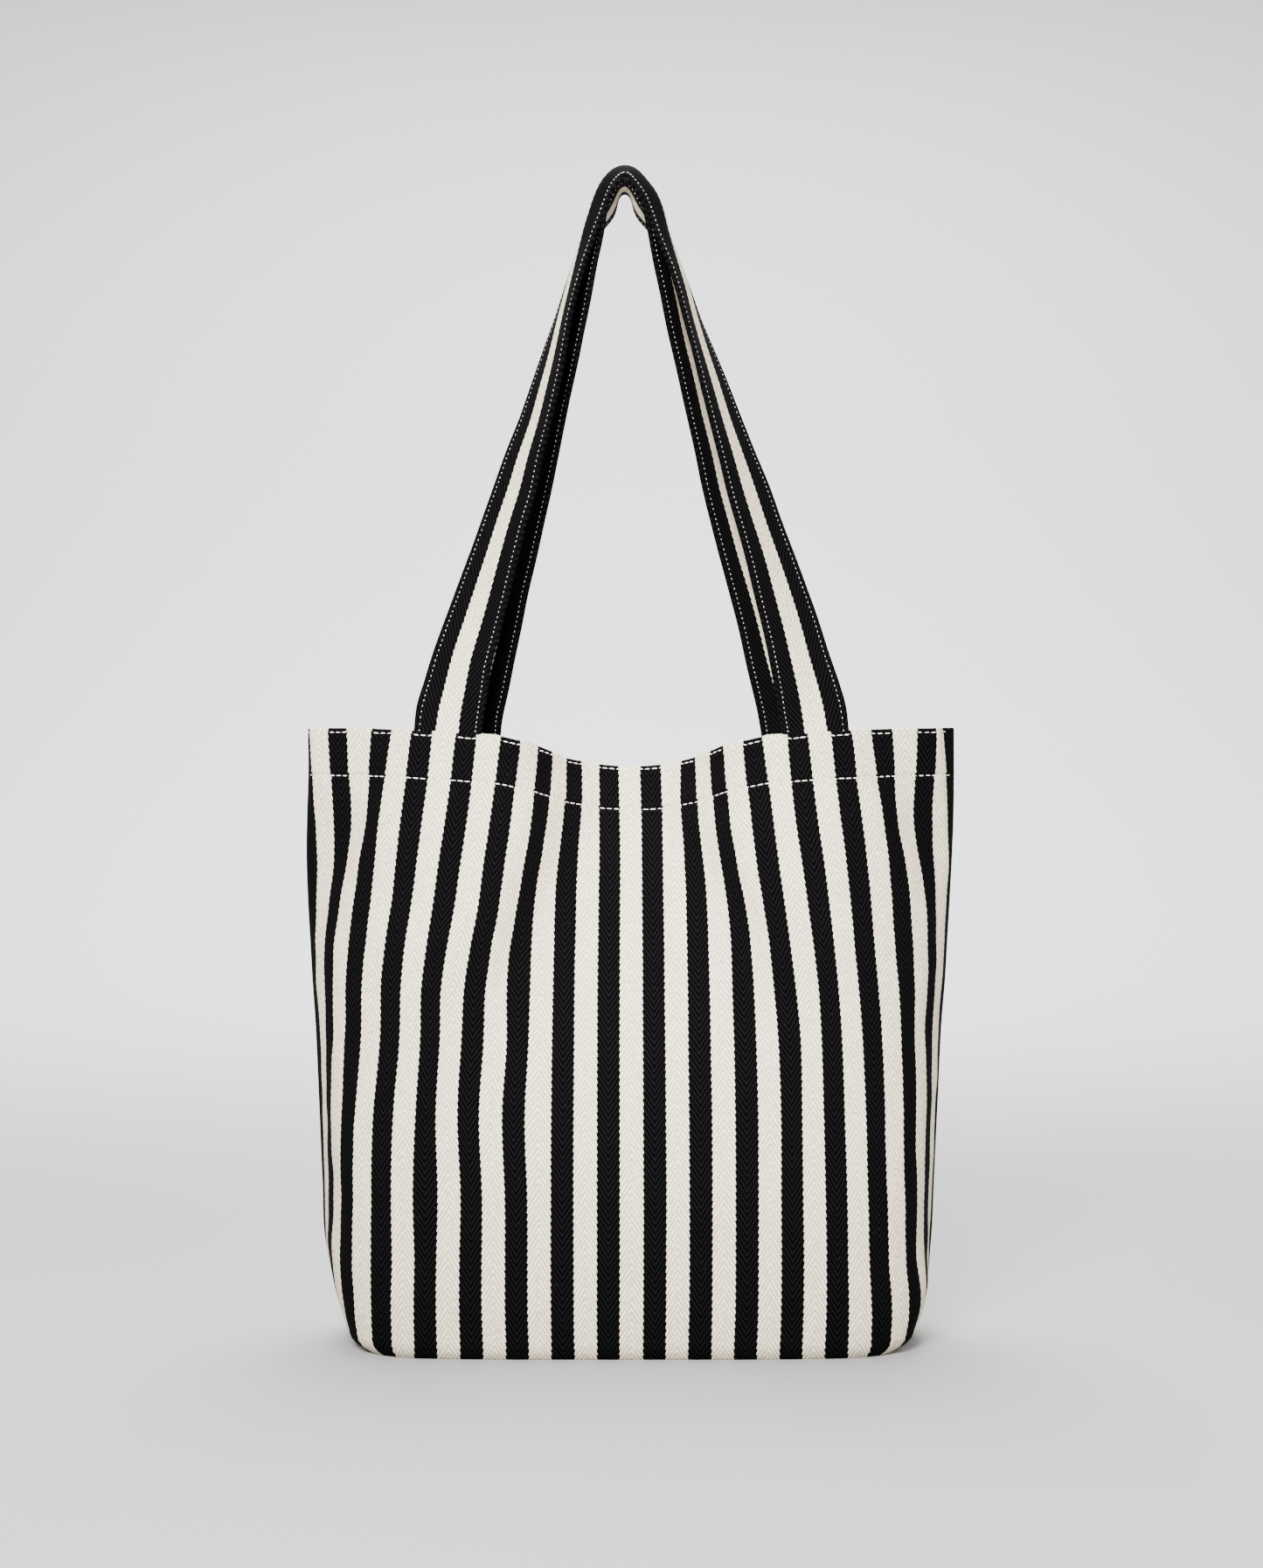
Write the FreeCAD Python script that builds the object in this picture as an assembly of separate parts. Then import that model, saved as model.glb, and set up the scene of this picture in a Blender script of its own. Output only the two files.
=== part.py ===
"""Canvas tote bag with two long shoulder straps, in millimetres.

+Z is up, the bag faces -Y, and the origin is the middle of the base on the floor.
The body cloth is described in cloth coordinates: S runs round the panel from the left side
seam (-222.25) to the right side seam (+222.25), T runs up the cloth from the base edge to
the rim. FRONT_X / FRONT_Y and BACK_X / BACK_Y give the outer face of each panel at those
coordinates. The base is boxed: each panel carries half of it.
"""
import FreeCAD, Part
import math
import os

V = FreeCAD.Vector

# ---- driving dimensions (mm) ----
CLOTH = 2.0              # body canvas, one layer with its crimp
GAP = 0.15               # clearance between stacked layers
HEM_DEPTH = 27.4         # turned hem at the rim
HEM_CLOTH = 1.8
STRAP_W = 38.1           # strap width
STRAP_T = 3.0            # strap, folded cloth
STRAP_END_DEPTH = 27.0   # how far the strap goes down inside the hem
STITCH_W = 0.7           # width of a line of stitching
STITCH_T = 0.4           # how far the thread stands off the cloth
STRAP_STITCH_IN = 2.7    # strap edge stitching, from the edge
HEM_STITCH = 27.4        # hem stitching, below the rim
RIM_STITCH = 1.9         # edge stitching, below the rim
CLOTH_H = 353.0          # base edge to rim, along the cloth
HINGE_Z = 352.5          # line over which the straps fold at the rim
HINGE_Y_FRONT = -22.5
HINGE_Y_BACK = 28.0
STRAP_FOOT_Z = 352.0     # bottom of the free part of a strap
BINDING_T = 3.2          # bound seam allowance, thickness
BINDING_W = 9.7          # bound seam allowance, how far it stands inwards
STRAP_S = 127.0          # cloth coordinate of each strap's middle

S = [-222.25, -209.55, -196.85, -184.15, -171.45, -158.75, -146.05, -133.35, -120.65, -107.95, -95.25, -82.55, -69.85, -57.15, -44.45, -31.75, -19.05, 0, 19.05, 31.75, 44.45, 57.15, 69.85, 82.55, 95.25, 107.95, 120.65, 133.35, 146.05, 158.75, 171.45, 184.15, 196.85, 209.55, 222.25]
T = [0, 5, 15, 29, 53, 90, 137, 182, 230, 278, 302, 326, 353]
RIM_Z_FRONT = [(0, 330), (19, 331), (44, 335), (70, 341.5), (95, 346.5), (121, 348.5), (146, 350), (171, 351), (197, 351.5), (222.25, 352)]
RIM_Z_BACK = [(0, 327), (19, 328), (44, 332), (70, 339), (95, 345), (121, 348.5), (146, 350), (171, 351), (197, 351.5), (222.25, 352)]
FRONT_X = [
    [-152, -152, -151.8, -151, -149.1, -145.4, -139, -130.7, -120.8, -107.8, -95.1, -82.1, -69.7, -56.8, -44.5, -31.4, -19.2, -0.1, 19.1, 31.2, 44.5, 56.7, 69.7, 82, 94.9, 107.2, 120.4, 130.7, 139, 145.4, 149.1, 151, 151.8, 152, 152],
    [-158.6, -158.6, -158.3, -157.5, -155.6, -150.8, -143, -132.3, -120.4, -107.4, -94.8, -81.8, -69.5, -56.6, -44.4, -31.3, -19.1, -0.1, 19, 31.2, 44.4, 56.5, 69.4, 81.8, 94.6, 106.8, 120, 132.3, 143, 150.8, 155.6, 157.5, 158.3, 158.6, 158.6],
    [-164.5, -164.2, -163.5, -162.3, -159.6, -153.8, -144.5, -132.8, -120.5, -107.7, -95.1, -82.2, -69.7, -56.9, -44.5, -31.6, -19.2, -0.1, 19.1, 31.4, 44.5, 56.8, 69.8, 82.2, 94.9, 107.2, 120.3, 132.8, 144.5, 153.8, 159.6, 162.3, 163.5, 164.2, 164.5],
    [-170, -169.2, -168, -166, -162.1, -154.8, -144.8, -133.1, -120.7, -108, -95.5, -82.7, -70.1, -57.3, -44.7, -31.8, -19.3, 0, 19.3, 31.8, 44.8, 57.3, 70.3, 82.7, 95.4, 107.8, 120.6, 133.1, 144.8, 154.8, 162.1, 166, 168, 169.2, 170],
    [-176.8, -174.8, -172.6, -169.2, -163.8, -155.9, -145, -132.8, -120.6, -108.2, -95.7, -83, -70.4, -57.6, -45, -32, -19.3, 0.1, 19.4, 32.1, 45.1, 57.7, 70.7, 83.2, 95.9, 108.2, 120.5, 132.2, 143.6, 153.5, 160.9, 166.3, 169.5, 171.4, 173.3],
    [-179.7, -177, -173.7, -169.6, -164.4, -156.5, -145.8, -134.1, -122.1, -108, -95.6, -83.3, -70.9, -58.1, -45.2, -32.3, -19.4, 0.1, 19.7, 32.3, 45.4, 58.1, 71.1, 83.5, 96, 108.2, 120.4, 131.7, 142.8, 153.2, 161.4, 166.5, 170.7, 173.7, 175.9],
    [-182.6, -179.4, -175.6, -171.6, -164.5, -155.7, -145.1, -133.4, -121.2, -109.8, -98, -85.7, -73, -60, -45.4, -32.5, -19.5, 0, 19.6, 32.4, 45.6, 58.4, 71.5, 84, 96.1, 107.8, 119.7, 131.4, 142.7, 153.4, 161.7, 168.7, 172.6, 176.3, 179],
    [-185.3, -181.3, -176.6, -171, -163.4, -153.1, -141.8, -130.2, -118.9, -107.7, -95.9, -83.4, -70.9, -58.3, -45.3, -32.5, -19.6, -0.1, 19.4, 32.2, 45.2, 58.1, 70.9, 82.9, 95.6, 106.9, 118.4, 129.6, 141.3, 152.7, 161.7, 168.4, 174, 178.6, 181.8],
    [-188.9, -183.9, -177.3, -170.5, -161.4, -150.7, -139.4, -127.6, -115.7, -104.1, -91.6, -80.1, -70.2, -57.4, -44.8, -32.4, -19.5, -0.1, 19.1, 32, 44.6, 57.2, 68.5, 78.4, 90.2, 102.7, 114.4, 125.9, 137.8, 149.7, 160.8, 169.8, 176.6, 182.7, 185.7],
    [-191, -183.7, -173.2, -164.1, -156.4, -146.2, -133.8, -121.4, -109.2, -96.6, -84, -72.2, -62, -53.4, -43.4, -31.6, -19.1, -0.2, 18.6, 31.2, 42.6, 52.3, 61.2, 71.5, 83.9, 96.5, 109, 121.3, 133.6, 146, 156.4, 165.4, 175.4, 185.1, 188.4],
    [-190.4, -184.6, -173.1, -161.5, -152, -143.6, -130.9, -118.2, -105.7, -93.3, -80.8, -69.2, -58.3, -49.6, -41, -30.6, -19.1, -0.3, 18.4, 29.9, 40, 48.7, 57.3, 68.6, 81, 93.1, 105.7, 118.4, 131, 143.5, 152.7, 163, 175.1, 184.7, 189],
    [-189.5, -185.6, -174.1, -162.5, -150.5, -140.3, -128.2, -115.6, -102.9, -90.7, -77.9, -66.5, -56.1, -47.1, -38.6, -29.1, -19.2, -0.7, 17.8, 28.3, 38.2, 47, 55.4, 66.3, 78.3, 90.8, 103.2, 115.8, 128.3, 140.3, 151.3, 163.6, 175.6, 183.1, 189.1],
    [-189.5, -187.1, -175.9, -163.9, -149.2, -136.7, -125.3, -113.1, -100, -88, -74.8, -63.4, -54, -45.6, -38.5, -29.6, -19.6, -1.3, 17.4, 28.9, 37.7, 45.8, 53.4, 63.7, 74.9, 88.6, 100.4, 113.1, 125.5, 136.7, 150, 164.5, 176.6, 180.1, 188.9],
]
FRONT_Y = [
    [0, -7.5, -15, -22.5, -30, -37, -43, -47, -49.8, -51.2, -52, -52.5, -52.8, -53, -53, -53, -53, -53, -53, -53, -53, -53, -52.8, -52.5, -52, -51.2, -49.8, -47, -43, -37, -30, -22.5, -15, -7.5, 0],
    [0, -8.3, -16.7, -25, -33.3, -41.1, -47.5, -51.9, -54.4, -55.6, -56.1, -56.3, -56.5, -56.6, -56.6, -56.5, -56.5, -56.5, -56.5, -56.5, -56.6, -56.6, -56.5, -56.3, -56.1, -55.6, -54.4, -51.9, -47.5, -41.1, -33.3, -25, -16.7, -8.3, 0],
    [0.5, -8.3, -17.2, -26.2, -34.9, -42.9, -49.2, -53.2, -55.3, -56.2, -56.5, -56.7, -56.8, -56.8, -56.8, -56.9, -56.9, -56.9, -56.9, -56.9, -56.8, -56.8, -56.8, -56.7, -56.5, -56.2, -55.3, -53.2, -49.2, -42.9, -34.9, -26.2, -17.2, -8.3, 0.5],
    [1.3, -7.6, -17, -26.7, -35.7, -43.7, -49.7, -53.2, -54.8, -55.3, -55.5, -55.5, -55.5, -55.5, -55.5, -55.6, -55.6, -55.6, -55.6, -55.6, -55.5, -55.5, -55.5, -55.5, -55.5, -55.3, -54.8, -53.2, -49.7, -43.7, -35.7, -26.7, -17, -7.6, 1.3],
    [3, -5, -14, -24.5, -34, -42, -48, -51.1, -52.1, -52.1, -51.9, -51.7, -51.5, -51.4, -51.5, -51.5, -51.6, -51.6, -51.6, -51.5, -51.5, -51.4, -51.5, -51.7, -51.9, -52.1, -52.1, -51.1, -48, -42, -34, -24.5, -14, -5, 3],
    [8, -1, -10, -20.1, -30.1, -38.1, -43.1, -45.6, -46.2, -45.5, -44.8, -44.5, -44.2, -44, -44, -44.1, -44.2, -44.3, -44.2, -44.1, -44, -44, -44.2, -44.5, -44.8, -45.5, -46.2, -45.6, -43.1, -38.1, -30.1, -20.1, -10, -1, 8],
    [14, 4.9, -4.1, -14.6, -24.1, -31.1, -35.7, -38.2, -38.8, -37.4, -35.5, -34.3, -33.6, -32.9, -32.8, -33, -33.2, -33.3, -33.2, -33, -32.8, -32.9, -33.6, -34.3, -35.5, -37.4, -38.8, -38.2, -35.7, -31.1, -24.1, -14.6, -4.1, 4.9, 14],
    [18, 8.9, -0.1, -10.1, -19.1, -26.1, -31.2, -34.2, -34.7, -32.3, -29, -25.9, -23.4, -21.9, -21.1, -20.6, -20.7, -20.7, -20.7, -20.6, -21.1, -21.9, -23.4, -25.9, -29, -32.3, -34.7, -34.2, -31.2, -26.1, -19.1, -10.1, -0.1, 8.9, 18],
    [21.9, 12.9, 2.9, -7.1, -15.6, -22.6, -28.1, -32.1, -34, -32, -28.4, -23.4, -16.6, -11.8, -9.1, -7.4, -6.7, -6.2, -6.7, -7.4, -9.1, -11.8, -16.6, -23.4, -28.4, -32, -34, -32.1, -28.1, -22.6, -15.6, -7.1, 2.9, 12.9, 21.9],
    [22, 13, 6, -3.1, -12.1, -20, -25, -28.1, -30.2, -28.4, -26.4, -22.9, -16.2, -7.5, -0.3, 4.1, 6.4, 8.8, 6.4, 4.1, -0.3, -7.5, -16.2, -22.9, -26.4, -28.4, -30.2, -28.1, -25, -20, -12.1, -3.1, 6, 13, 22],
    [20.1, 11.1, 4.1, -3, -11.1, -18.2, -23.2, -26.3, -27.5, -25.6, -22.9, -19.8, -13.6, -5.3, 3.3, 9.7, 14.4, 17.6, 14.4, 9.7, 3.3, -5.3, -13.6, -19.8, -22.9, -25.6, -27.5, -26.3, -23.2, -18.2, -11.1, -3, 4.1, 11.1, 20.1],
    [19, 9.1, 3.1, -3, -8.2, -14.4, -19.5, -22.2, -22, -20.3, -17.5, -13.9, -7.6, 0.4, 8.5, 16.3, 22.8, 26, 22.8, 16.3, 8.5, 0.4, -7.6, -13.9, -17.5, -20.3, -22, -22.2, -19.5, -14.4, -8.2, -3, 3.1, 9.1, 19],
    [18, 9, 4, -2, -7, -12.1, -17.2, -20.2, -20.1, -18.2, -16, -11.2, -3.4, 6.7, 16.4, 25.6, 31.3, 35.2, 31.3, 25.6, 16.4, 6.7, -3.4, -11.2, -16, -18.2, -20.1, -20.2, -17.2, -12.1, -7, -2, 4, 9, 18],
]
BACK_X = [
    [-152, -152, -151.8, -151, -149.1, -145.4, -139, -130.7, -119.5, -107.2, -94.6, -82, -69.4, -56.7, -44.1, -31.5, -18.9, 0, 18.9, 31.5, 44.1, 56.7, 69.4, 82, 94.6, 107.2, 119.5, 130.7, 139, 145.4, 149.1, 151, 151.8, 152, 152],
    [-158.6, -158.6, -158.3, -157.5, -155.6, -150.8, -143, -132.3, -119.5, -107.2, -94.6, -82, -69.4, -56.7, -44.1, -31.5, -18.9, 0, 18.9, 31.5, 44.1, 56.7, 69.4, 82, 94.6, 107.2, 119.5, 132.3, 143, 150.8, 155.6, 157.5, 158.3, 158.6, 158.6],
    [-164.5, -164.2, -163.5, -162.3, -159.6, -153.8, -144.5, -132.8, -119.5, -107.2, -94.6, -82, -69.4, -56.7, -44.1, -31.5, -18.9, 0, 18.9, 31.5, 44.1, 56.7, 69.4, 82, 94.6, 107.2, 119.5, 132.8, 144.5, 153.8, 159.6, 162.3, 163.5, 164.2, 164.5],
    [-170, -169.2, -168, -166, -162.1, -154.8, -144.8, -133.1, -119.5, -107.2, -94.6, -82, -69.4, -56.7, -44.1, -31.5, -18.9, 0, 18.9, 31.5, 44.1, 56.7, 69.4, 82, 94.6, 107.2, 119.5, 133.1, 144.8, 154.8, 162.1, 166, 168, 169.2, 170],
    [-176.8, -173.8, -170, -164.6, -158, -149.8, -140.3, -129.7, -118.2, -106.4, -94.3, -82, -69.6, -57, -44.4, -31.7, -19, 0, 19, 31.7, 44.4, 57, 69.5, 82, 94.2, 106.2, 117.9, 129.2, 139.6, 148.8, 156.6, 162.8, 167.7, 171, 173.3],
    [-179.7, -177.3, -173.6, -167.8, -160.2, -151.2, -141.1, -130.1, -118.5, -106.6, -94.4, -82.1, -69.6, -57, -44.4, -31.7, -19, 0, 19, 31.7, 44.4, 57, 69.6, 82, 94.3, 106.4, 118.1, 129.5, 140.3, 150.1, 158.8, 165.9, 171.2, 174.3, 175.9],
    [-182.6, -182.3, -178.2, -171.1, -162.3, -152.4, -141.7, -130.4, -118.7, -106.7, -94.5, -82.1, -69.6, -57, -44.4, -31.7, -19, 0, 19, 31.7, 44.4, 57, 69.6, 82, 94.3, 106.5, 118.4, 129.9, 141, 151.4, 160.9, 169.2, 175.8, 179.3, 179],
    [-185.3, -184.2, -179.1, -171.5, -162.1, -151.8, -140.8, -129.4, -117.7, -105.8, -93.7, -81.6, -69.3, -56.9, -44.3, -31.7, -19, 0, 19, 31.7, 44.3, 56.9, 69.2, 81.5, 93.6, 105.6, 117.4, 129, 140.1, 150.8, 160.8, 169.7, 176.9, 181.3, 181.8],
    [-188.9, -185.2, -178.4, -169.9, -160, -149.3, -138.1, -126.6, -114.7, -102.7, -90.9, -79.3, -67.7, -56.1, -44, -31.6, -19, 0, 19, 31.6, 44, 56.1, 67.7, 79.2, 90.8, 102.6, 114.4, 126.1, 137.5, 148.4, 158.8, 168.3, 176.4, 182.6, 185.7],
    [-191, -184.6, -176.2, -166.3, -155.5, -144.2, -132.6, -120.9, -108.8, -96.6, -84.7, -73.8, -64, -53.9, -43.2, -31.4, -19, 0, 19, 31.4, 43.2, 53.9, 63.9, 73.8, 84.6, 96.5, 108.6, 120.6, 132.2, 143.5, 154.6, 165.1, 174.6, 182.5, 188.4],
    [-190.4, -183, -174, -163.3, -151.9, -140.1, -128.3, -116.5, -104.3, -91.9, -79.8, -69.3, -60.4, -52, -42.4, -31.2, -19, 0, 19, 31.2, 42.4, 52, 60.4, 69.2, 79.7, 91.8, 104.2, 116.3, 128.1, 139.7, 151.4, 162.6, 173.1, 181.9, 189],
    [-189.5, -181.4, -171.5, -160.1, -148.1, -136, -124.1, -112.3, -99.9, -87.4, -75.3, -64.9, -56.6, -49.6, -41.3, -30.8, -19, 0, 19, 30.8, 41.3, 49.6, 56.6, 64.9, 75.3, 87.4, 99.9, 112.2, 124.1, 135.9, 148, 159.9, 171.2, 181.1, 189.1],
    [-189.5, -180.6, -169.7, -157.8, -145.3, -132.9, -120.9, -108.9, -96.4, -83.8, -71.7, -61.3, -53.6, -47.5, -40.4, -30.6, -18.9, 0, 18.9, 30.6, 40.4, 47.5, 53.6, 61.3, 71.7, 83.8, 96.4, 108.8, 120.8, 132.8, 145.2, 157.6, 169.4, 180.2, 188.9],
]
BACK_Y = [
    [0, 7.5, 15, 22.5, 30, 37, 43, 47, 49.8, 51.2, 52, 52.5, 52.8, 53, 53, 53, 53, 53, 53, 53, 53, 53, 52.8, 52.5, 52, 51.2, 49.8, 47, 43, 37, 30, 22.5, 15, 7.5, 0],
    [0, 8.3, 16.7, 25, 33.3, 41.1, 47.5, 51.9, 54.4, 55.6, 56.1, 56.3, 56.5, 56.6, 56.5, 56.5, 56.5, 56.5, 56.5, 56.5, 56.5, 56.6, 56.5, 56.3, 56.1, 55.6, 54.4, 51.9, 47.5, 41.1, 33.3, 25, 16.7, 8.3, 0],
    [0.5, 9.7, 18.6, 27.4, 35.6, 43.4, 49.6, 53.7, 56, 57, 57.4, 57.6, 57.7, 57.7, 57.7, 57.7, 57.7, 57.7, 57.7, 57.7, 57.7, 57.7, 57.7, 57.6, 57.4, 57, 56, 53.7, 49.6, 43.4, 35.6, 27.4, 18.6, 9.7, 0.5],
    [1.3, 11.3, 20.8, 29.8, 37.9, 45.3, 51.1, 54.9, 56.8, 57.6, 58, 58.2, 58.2, 58.2, 58.2, 58.2, 58.1, 58.1, 58.1, 58.2, 58.2, 58.2, 58.2, 58.2, 58, 57.6, 56.8, 54.9, 51.1, 45.3, 37.9, 29.8, 20.8, 11.3, 1.3],
    [3, 13, 23, 32, 40.5, 47.5, 53, 56.5, 58.2, 58.8, 59.1, 59.4, 59.7, 59.8, 59.8, 59.8, 59.7, 59.7, 59.7, 59.8, 59.8, 59.8, 59.7, 59.4, 59.1, 58.8, 58.2, 56.5, 53, 47.5, 40.5, 32, 23, 13, 3],
    [8, 18.9, 29.4, 38.4, 45.9, 51.9, 56.4, 59.4, 60.9, 61.9, 62.2, 62.6, 62.9, 63.2, 63.3, 63.4, 63.3, 63.3, 63.3, 63.4, 63.3, 63.2, 62.9, 62.6, 62.2, 61.9, 60.9, 59.4, 56.4, 51.9, 45.9, 38.4, 29.4, 18.9, 8],
    [14, 26.4, 36.9, 44.9, 50.9, 55.9, 59.4, 61.9, 63.4, 64.4, 65.3, 66.2, 67, 67.8, 68.1, 68.5, 68.8, 68.7, 68.8, 68.5, 68.1, 67.8, 67, 66.2, 65.3, 64.4, 63.4, 61.9, 59.4, 55.9, 50.9, 44.9, 36.9, 26.4, 14],
    [18, 29.9, 39.5, 46.5, 51, 54.1, 56.1, 57.7, 59.2, 60.8, 62.8, 65.2, 67.5, 69.7, 71.3, 72.4, 73.2, 73.5, 73.2, 72.4, 71.3, 69.7, 67.5, 65.2, 62.8, 60.8, 59.2, 57.7, 56.1, 54.1, 51, 46.5, 39.5, 29.9, 18],
    [21.9, 32.5, 40, 45.5, 48.6, 50.2, 50.3, 49.9, 50.2, 51.5, 54.6, 59.1, 64.1, 69, 72.7, 75.4, 77, 77.6, 77, 75.4, 72.7, 69, 64.1, 59.1, 54.6, 51.5, 50.2, 49.9, 50.3, 50.2, 48.6, 45.5, 40, 32.5, 21.9],
    [22, 31, 37.6, 42.1, 44.2, 44.2, 42.4, 40.1, 39.3, 40.2, 43.6, 49.8, 57.8, 65.6, 72.3, 77.1, 79.8, 80.7, 79.8, 77.1, 72.3, 65.6, 57.8, 49.8, 43.6, 40.2, 39.3, 40.1, 42.4, 44.2, 44.2, 42.1, 37.6, 31, 22],
    [20.1, 29.1, 36.1, 40.1, 42.1, 41.3, 38.4, 35.2, 33.9, 34.3, 37.3, 44.4, 53.5, 63.2, 71.5, 77.4, 81.1, 82.1, 81.1, 77.4, 71.5, 63.2, 53.5, 44.4, 37.3, 34.3, 33.9, 35.2, 38.4, 41.3, 42.1, 40.1, 36.1, 29.1, 20.1],
    [19, 28, 34.6, 38.1, 39.2, 37.8, 34.5, 30.7, 28.9, 29.2, 32.4, 39.7, 49.4, 60.2, 69.8, 77, 81.5, 83, 81.5, 77, 69.8, 60.2, 49.4, 39.7, 32.4, 29.2, 28.9, 30.7, 34.5, 37.8, 39.2, 38.1, 34.6, 28, 19],
    [18, 27, 33, 36.5, 37.1, 35.1, 31.2, 27.3, 25.4, 26, 29.5, 36.8, 47, 58.3, 69, 77, 82, 84, 82, 77, 69, 58.3, 47, 36.8, 29.5, 26, 25.4, 27.3, 31.2, 35.1, 37.1, 36.5, 33, 27, 18],
]

# straps: height, x of the outer edge, x of the inner edge (left leg, then right leg), twist in degrees
FRONT_LEGS = [
    (352, -124.4, -84.7, 124.2, 85.2, -16.4, 3),
    (367, -120.7, -82.9, 120.3, 82.8, -15.6, 16),
    (388, -114.7, -79.4, 114.7, 78.7, -14.6, 27),
    (418, -105.6, -71.9, 105.9, 71.3, -13.0, 36),
    (448, -95.5, -64.2, 95.1, 63.3, -11.5, 43),
    (485, -82.8, -54.5, 81.8, 53.8, -9.6, 51),
    (525, -68.9, -45.7, 67.1, 43.9, -7.6, 61),
    (564, -55.4, -37.9, 52.3, 34.8, -5.6, 71),
    (595, -44.6, -31.6, 40.0, 27.3, -4.1, 77),
    (620, -36.0, -25.4, 29.9, 19.5, -2.8, 82),
    (640, -29.0, -19.9, 22.2, 12.7, -1.8, 86),
    (655, -24.3, -15.2, 17.6, 7.7, -1.0, 88),
]
BACK_LEGS = [
    (352, -117.8, -78.0, 117.3, 77.5, 22.0, 3),
    (367, -112.8, -74.7, 111.1, 73.0, 21.0, 16),
    (388, -104.9, -69.4, 103.1, 67.7, 19.5, 27),
    (418, -95.6, -63.3, 92.8, 60.6, 17.5, 36),
    (448, -85.3, -56.2, 81.3, 52.3, 15.5, 43),
    (485, -72.7, -47.9, 67.8, 42.9, 12.9, 51),
    (525, -58.7, -39.4, 52.8, 33.6, 10.2, 61),
    (564, -44.5, -31.2, 38.4, 25.1, 7.6, 71),
    (595, -33.7, -24.7, 27.4, 18.4, 5.4, 77),
    (620, -25.2, -19.7, 18.6, 13.0, 3.7, 82),
    (640, -18.4, -15.4, 11.5, 8.6, 2.4, 86),
    (655, -12.5, -11.0, 6.1, 4.5, 1.4, 88),
]

# ---- B-spline slabs: two faces from control points, and the edges ruled between them ----
def knots(n, deg):
    inner = n - deg - 1
    k = [float(i) for i in range(inner + 2)]
    m = [deg + 1] + [1] * inner + [deg + 1]
    return k, m


def cuts(n, deg, parts):
    """Parameter values, on knots, that divide a clamped spline of n poles into spans."""
    last = n - deg
    vals = sorted(set(round(last * i / parts) for i in range(parts + 1)))
    return [float(v) for v in vals]


def surface(grid, du, dv, pu, pv):
    ku, mu = knots(len(grid), du)
    kv, mv = knots(len(grid[0]), dv)
    cu, cv = cuts(len(grid), du, pu), cuts(len(grid[0]), dv, pv)
    res = []
    for u0, u1 in zip(cu[:-1], cu[1:]):
        for v0, v1 in zip(cv[:-1], cv[1:]):
            s = Part.BSplineSurface()
            s.buildFromPolesMultsKnots(grid, mu, mv, ku, kv, False, False, du, dv)
            s.segment(u0, u1, v0, v1)
            res.append(s.toShape())
    return res


def curve(poles, deg, parts):
    k, m = knots(len(poles), deg)
    c = cuts(len(poles), deg, parts)
    res = []
    for a, b in zip(c[:-1], c[1:]):
        cv = Part.BSplineCurve()
        cv.buildFromPolesMultsKnots(poles, m, k, False, deg)
        cv.segment(a, b)
        res.append(cv.toShape())
    return res


def slab(a, b, du=3, dv=3, pu=1, pv=1):
    """Closed solid between control grids a and b (same size), its long faces cut into spans."""
    du = min(du, len(a) - 1)
    dv = min(dv, len(a[0]) - 1)
    faces = surface(a, du, dv, pu, pv) + surface(b, du, dv, pu, pv)
    for i in (0, -1):
        for e, f in zip(curve(a[i], dv, pv), curve(b[i], dv, pv)):
            faces.append(Part.makeRuledSurface(e, f))
    for j in (0, -1):
        ca, cb = [r[j] for r in a], [r[j] for r in b]
        for e, f in zip(curve(ca, du, pu), curve(cb, du, pu)):
            faces.append(Part.makeRuledSurface(e, f))
    sh = Part.makeShell(faces)
    sh.sewShape()
    if sh.ShapeType != "Shell":
        sh = sh.Shells[0]
    sol = Part.makeSolid(sh)
    if sol.Volume < 0:
        sol.reverse()
    return sol


def patch(a, b, us, vs, du=3, dv=3):
    """Closed solid between parts of two control grids: us and vs are spline parameters."""
    full = []
    for grid in (a, b):
        ku, mu = knots(len(grid), du)
        kv, mv = knots(len(grid[0]), dv)
        f = Part.BSplineSurface()
        f.buildFromPolesMultsKnots(grid, mu, mv, ku, kv, False, False, du, dv)
        full.append(f)
    faces = []
    for f in full:
        for u0, u1 in zip(us[:-1], us[1:]):
            for v0, v1 in zip(vs[:-1], vs[1:]):
                c = f.copy()
                c.segment(u0, u1, v0, v1)
                faces.append(c.toShape())
    for u in (us[0], us[-1]):
        for v0, v1 in zip(vs[:-1], vs[1:]):
            e = []
            for f in full:
                c = f.uIso(u)
                c.segment(v0, v1)
                e.append(c.toShape())
            faces.append(Part.makeRuledSurface(e[0], e[1]))
    for v in (vs[0], vs[-1]):
        for u0, u1 in zip(us[:-1], us[1:]):
            e = []
            for f in full:
                c = f.vIso(v)
                c.segment(u0, u1)
                e.append(c.toShape())
            faces.append(Part.makeRuledSurface(e[0], e[1]))
    sh = Part.makeShell(faces)
    sh.sewShape()
    if sh.ShapeType != "Shell":
        sh = sh.Shells[0]
    sol = Part.makeSolid(sh)
    if sol.Volume < 0:
        sol.reverse()
    return sol


def param(vals, x, deg=3):
    """Spline parameter at which a clamped spline through control values vals reaches x."""
    k, m = knots(len(vals), deg)
    c = Part.BSplineCurve()
    c.buildFromPolesMultsKnots([V(v, 0, 0) for v in vals], m, k, False, deg)
    lo, hi = 0.0, float(len(vals) - deg)
    for _ in range(50):
        mid = (lo + hi) / 2
        if c.value(mid).x < x:
            lo = mid
        else:
            hi = mid
    return round((lo + hi) / 2, 6)


def spans(x0, x1, n):
    return [x0 + (x1 - x0) * i / n for i in range(n + 1)]


def lerp(x, pts):
    if x <= pts[0][0]:
        return pts[0][1]
    for (x0, y0), (x1, y1) in zip(pts[:-1], pts[1:]):
        if x <= x1:
            return y0 + (y1 - y0) * (x - x0) / (x1 - x0)
    return pts[-1][1]


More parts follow.
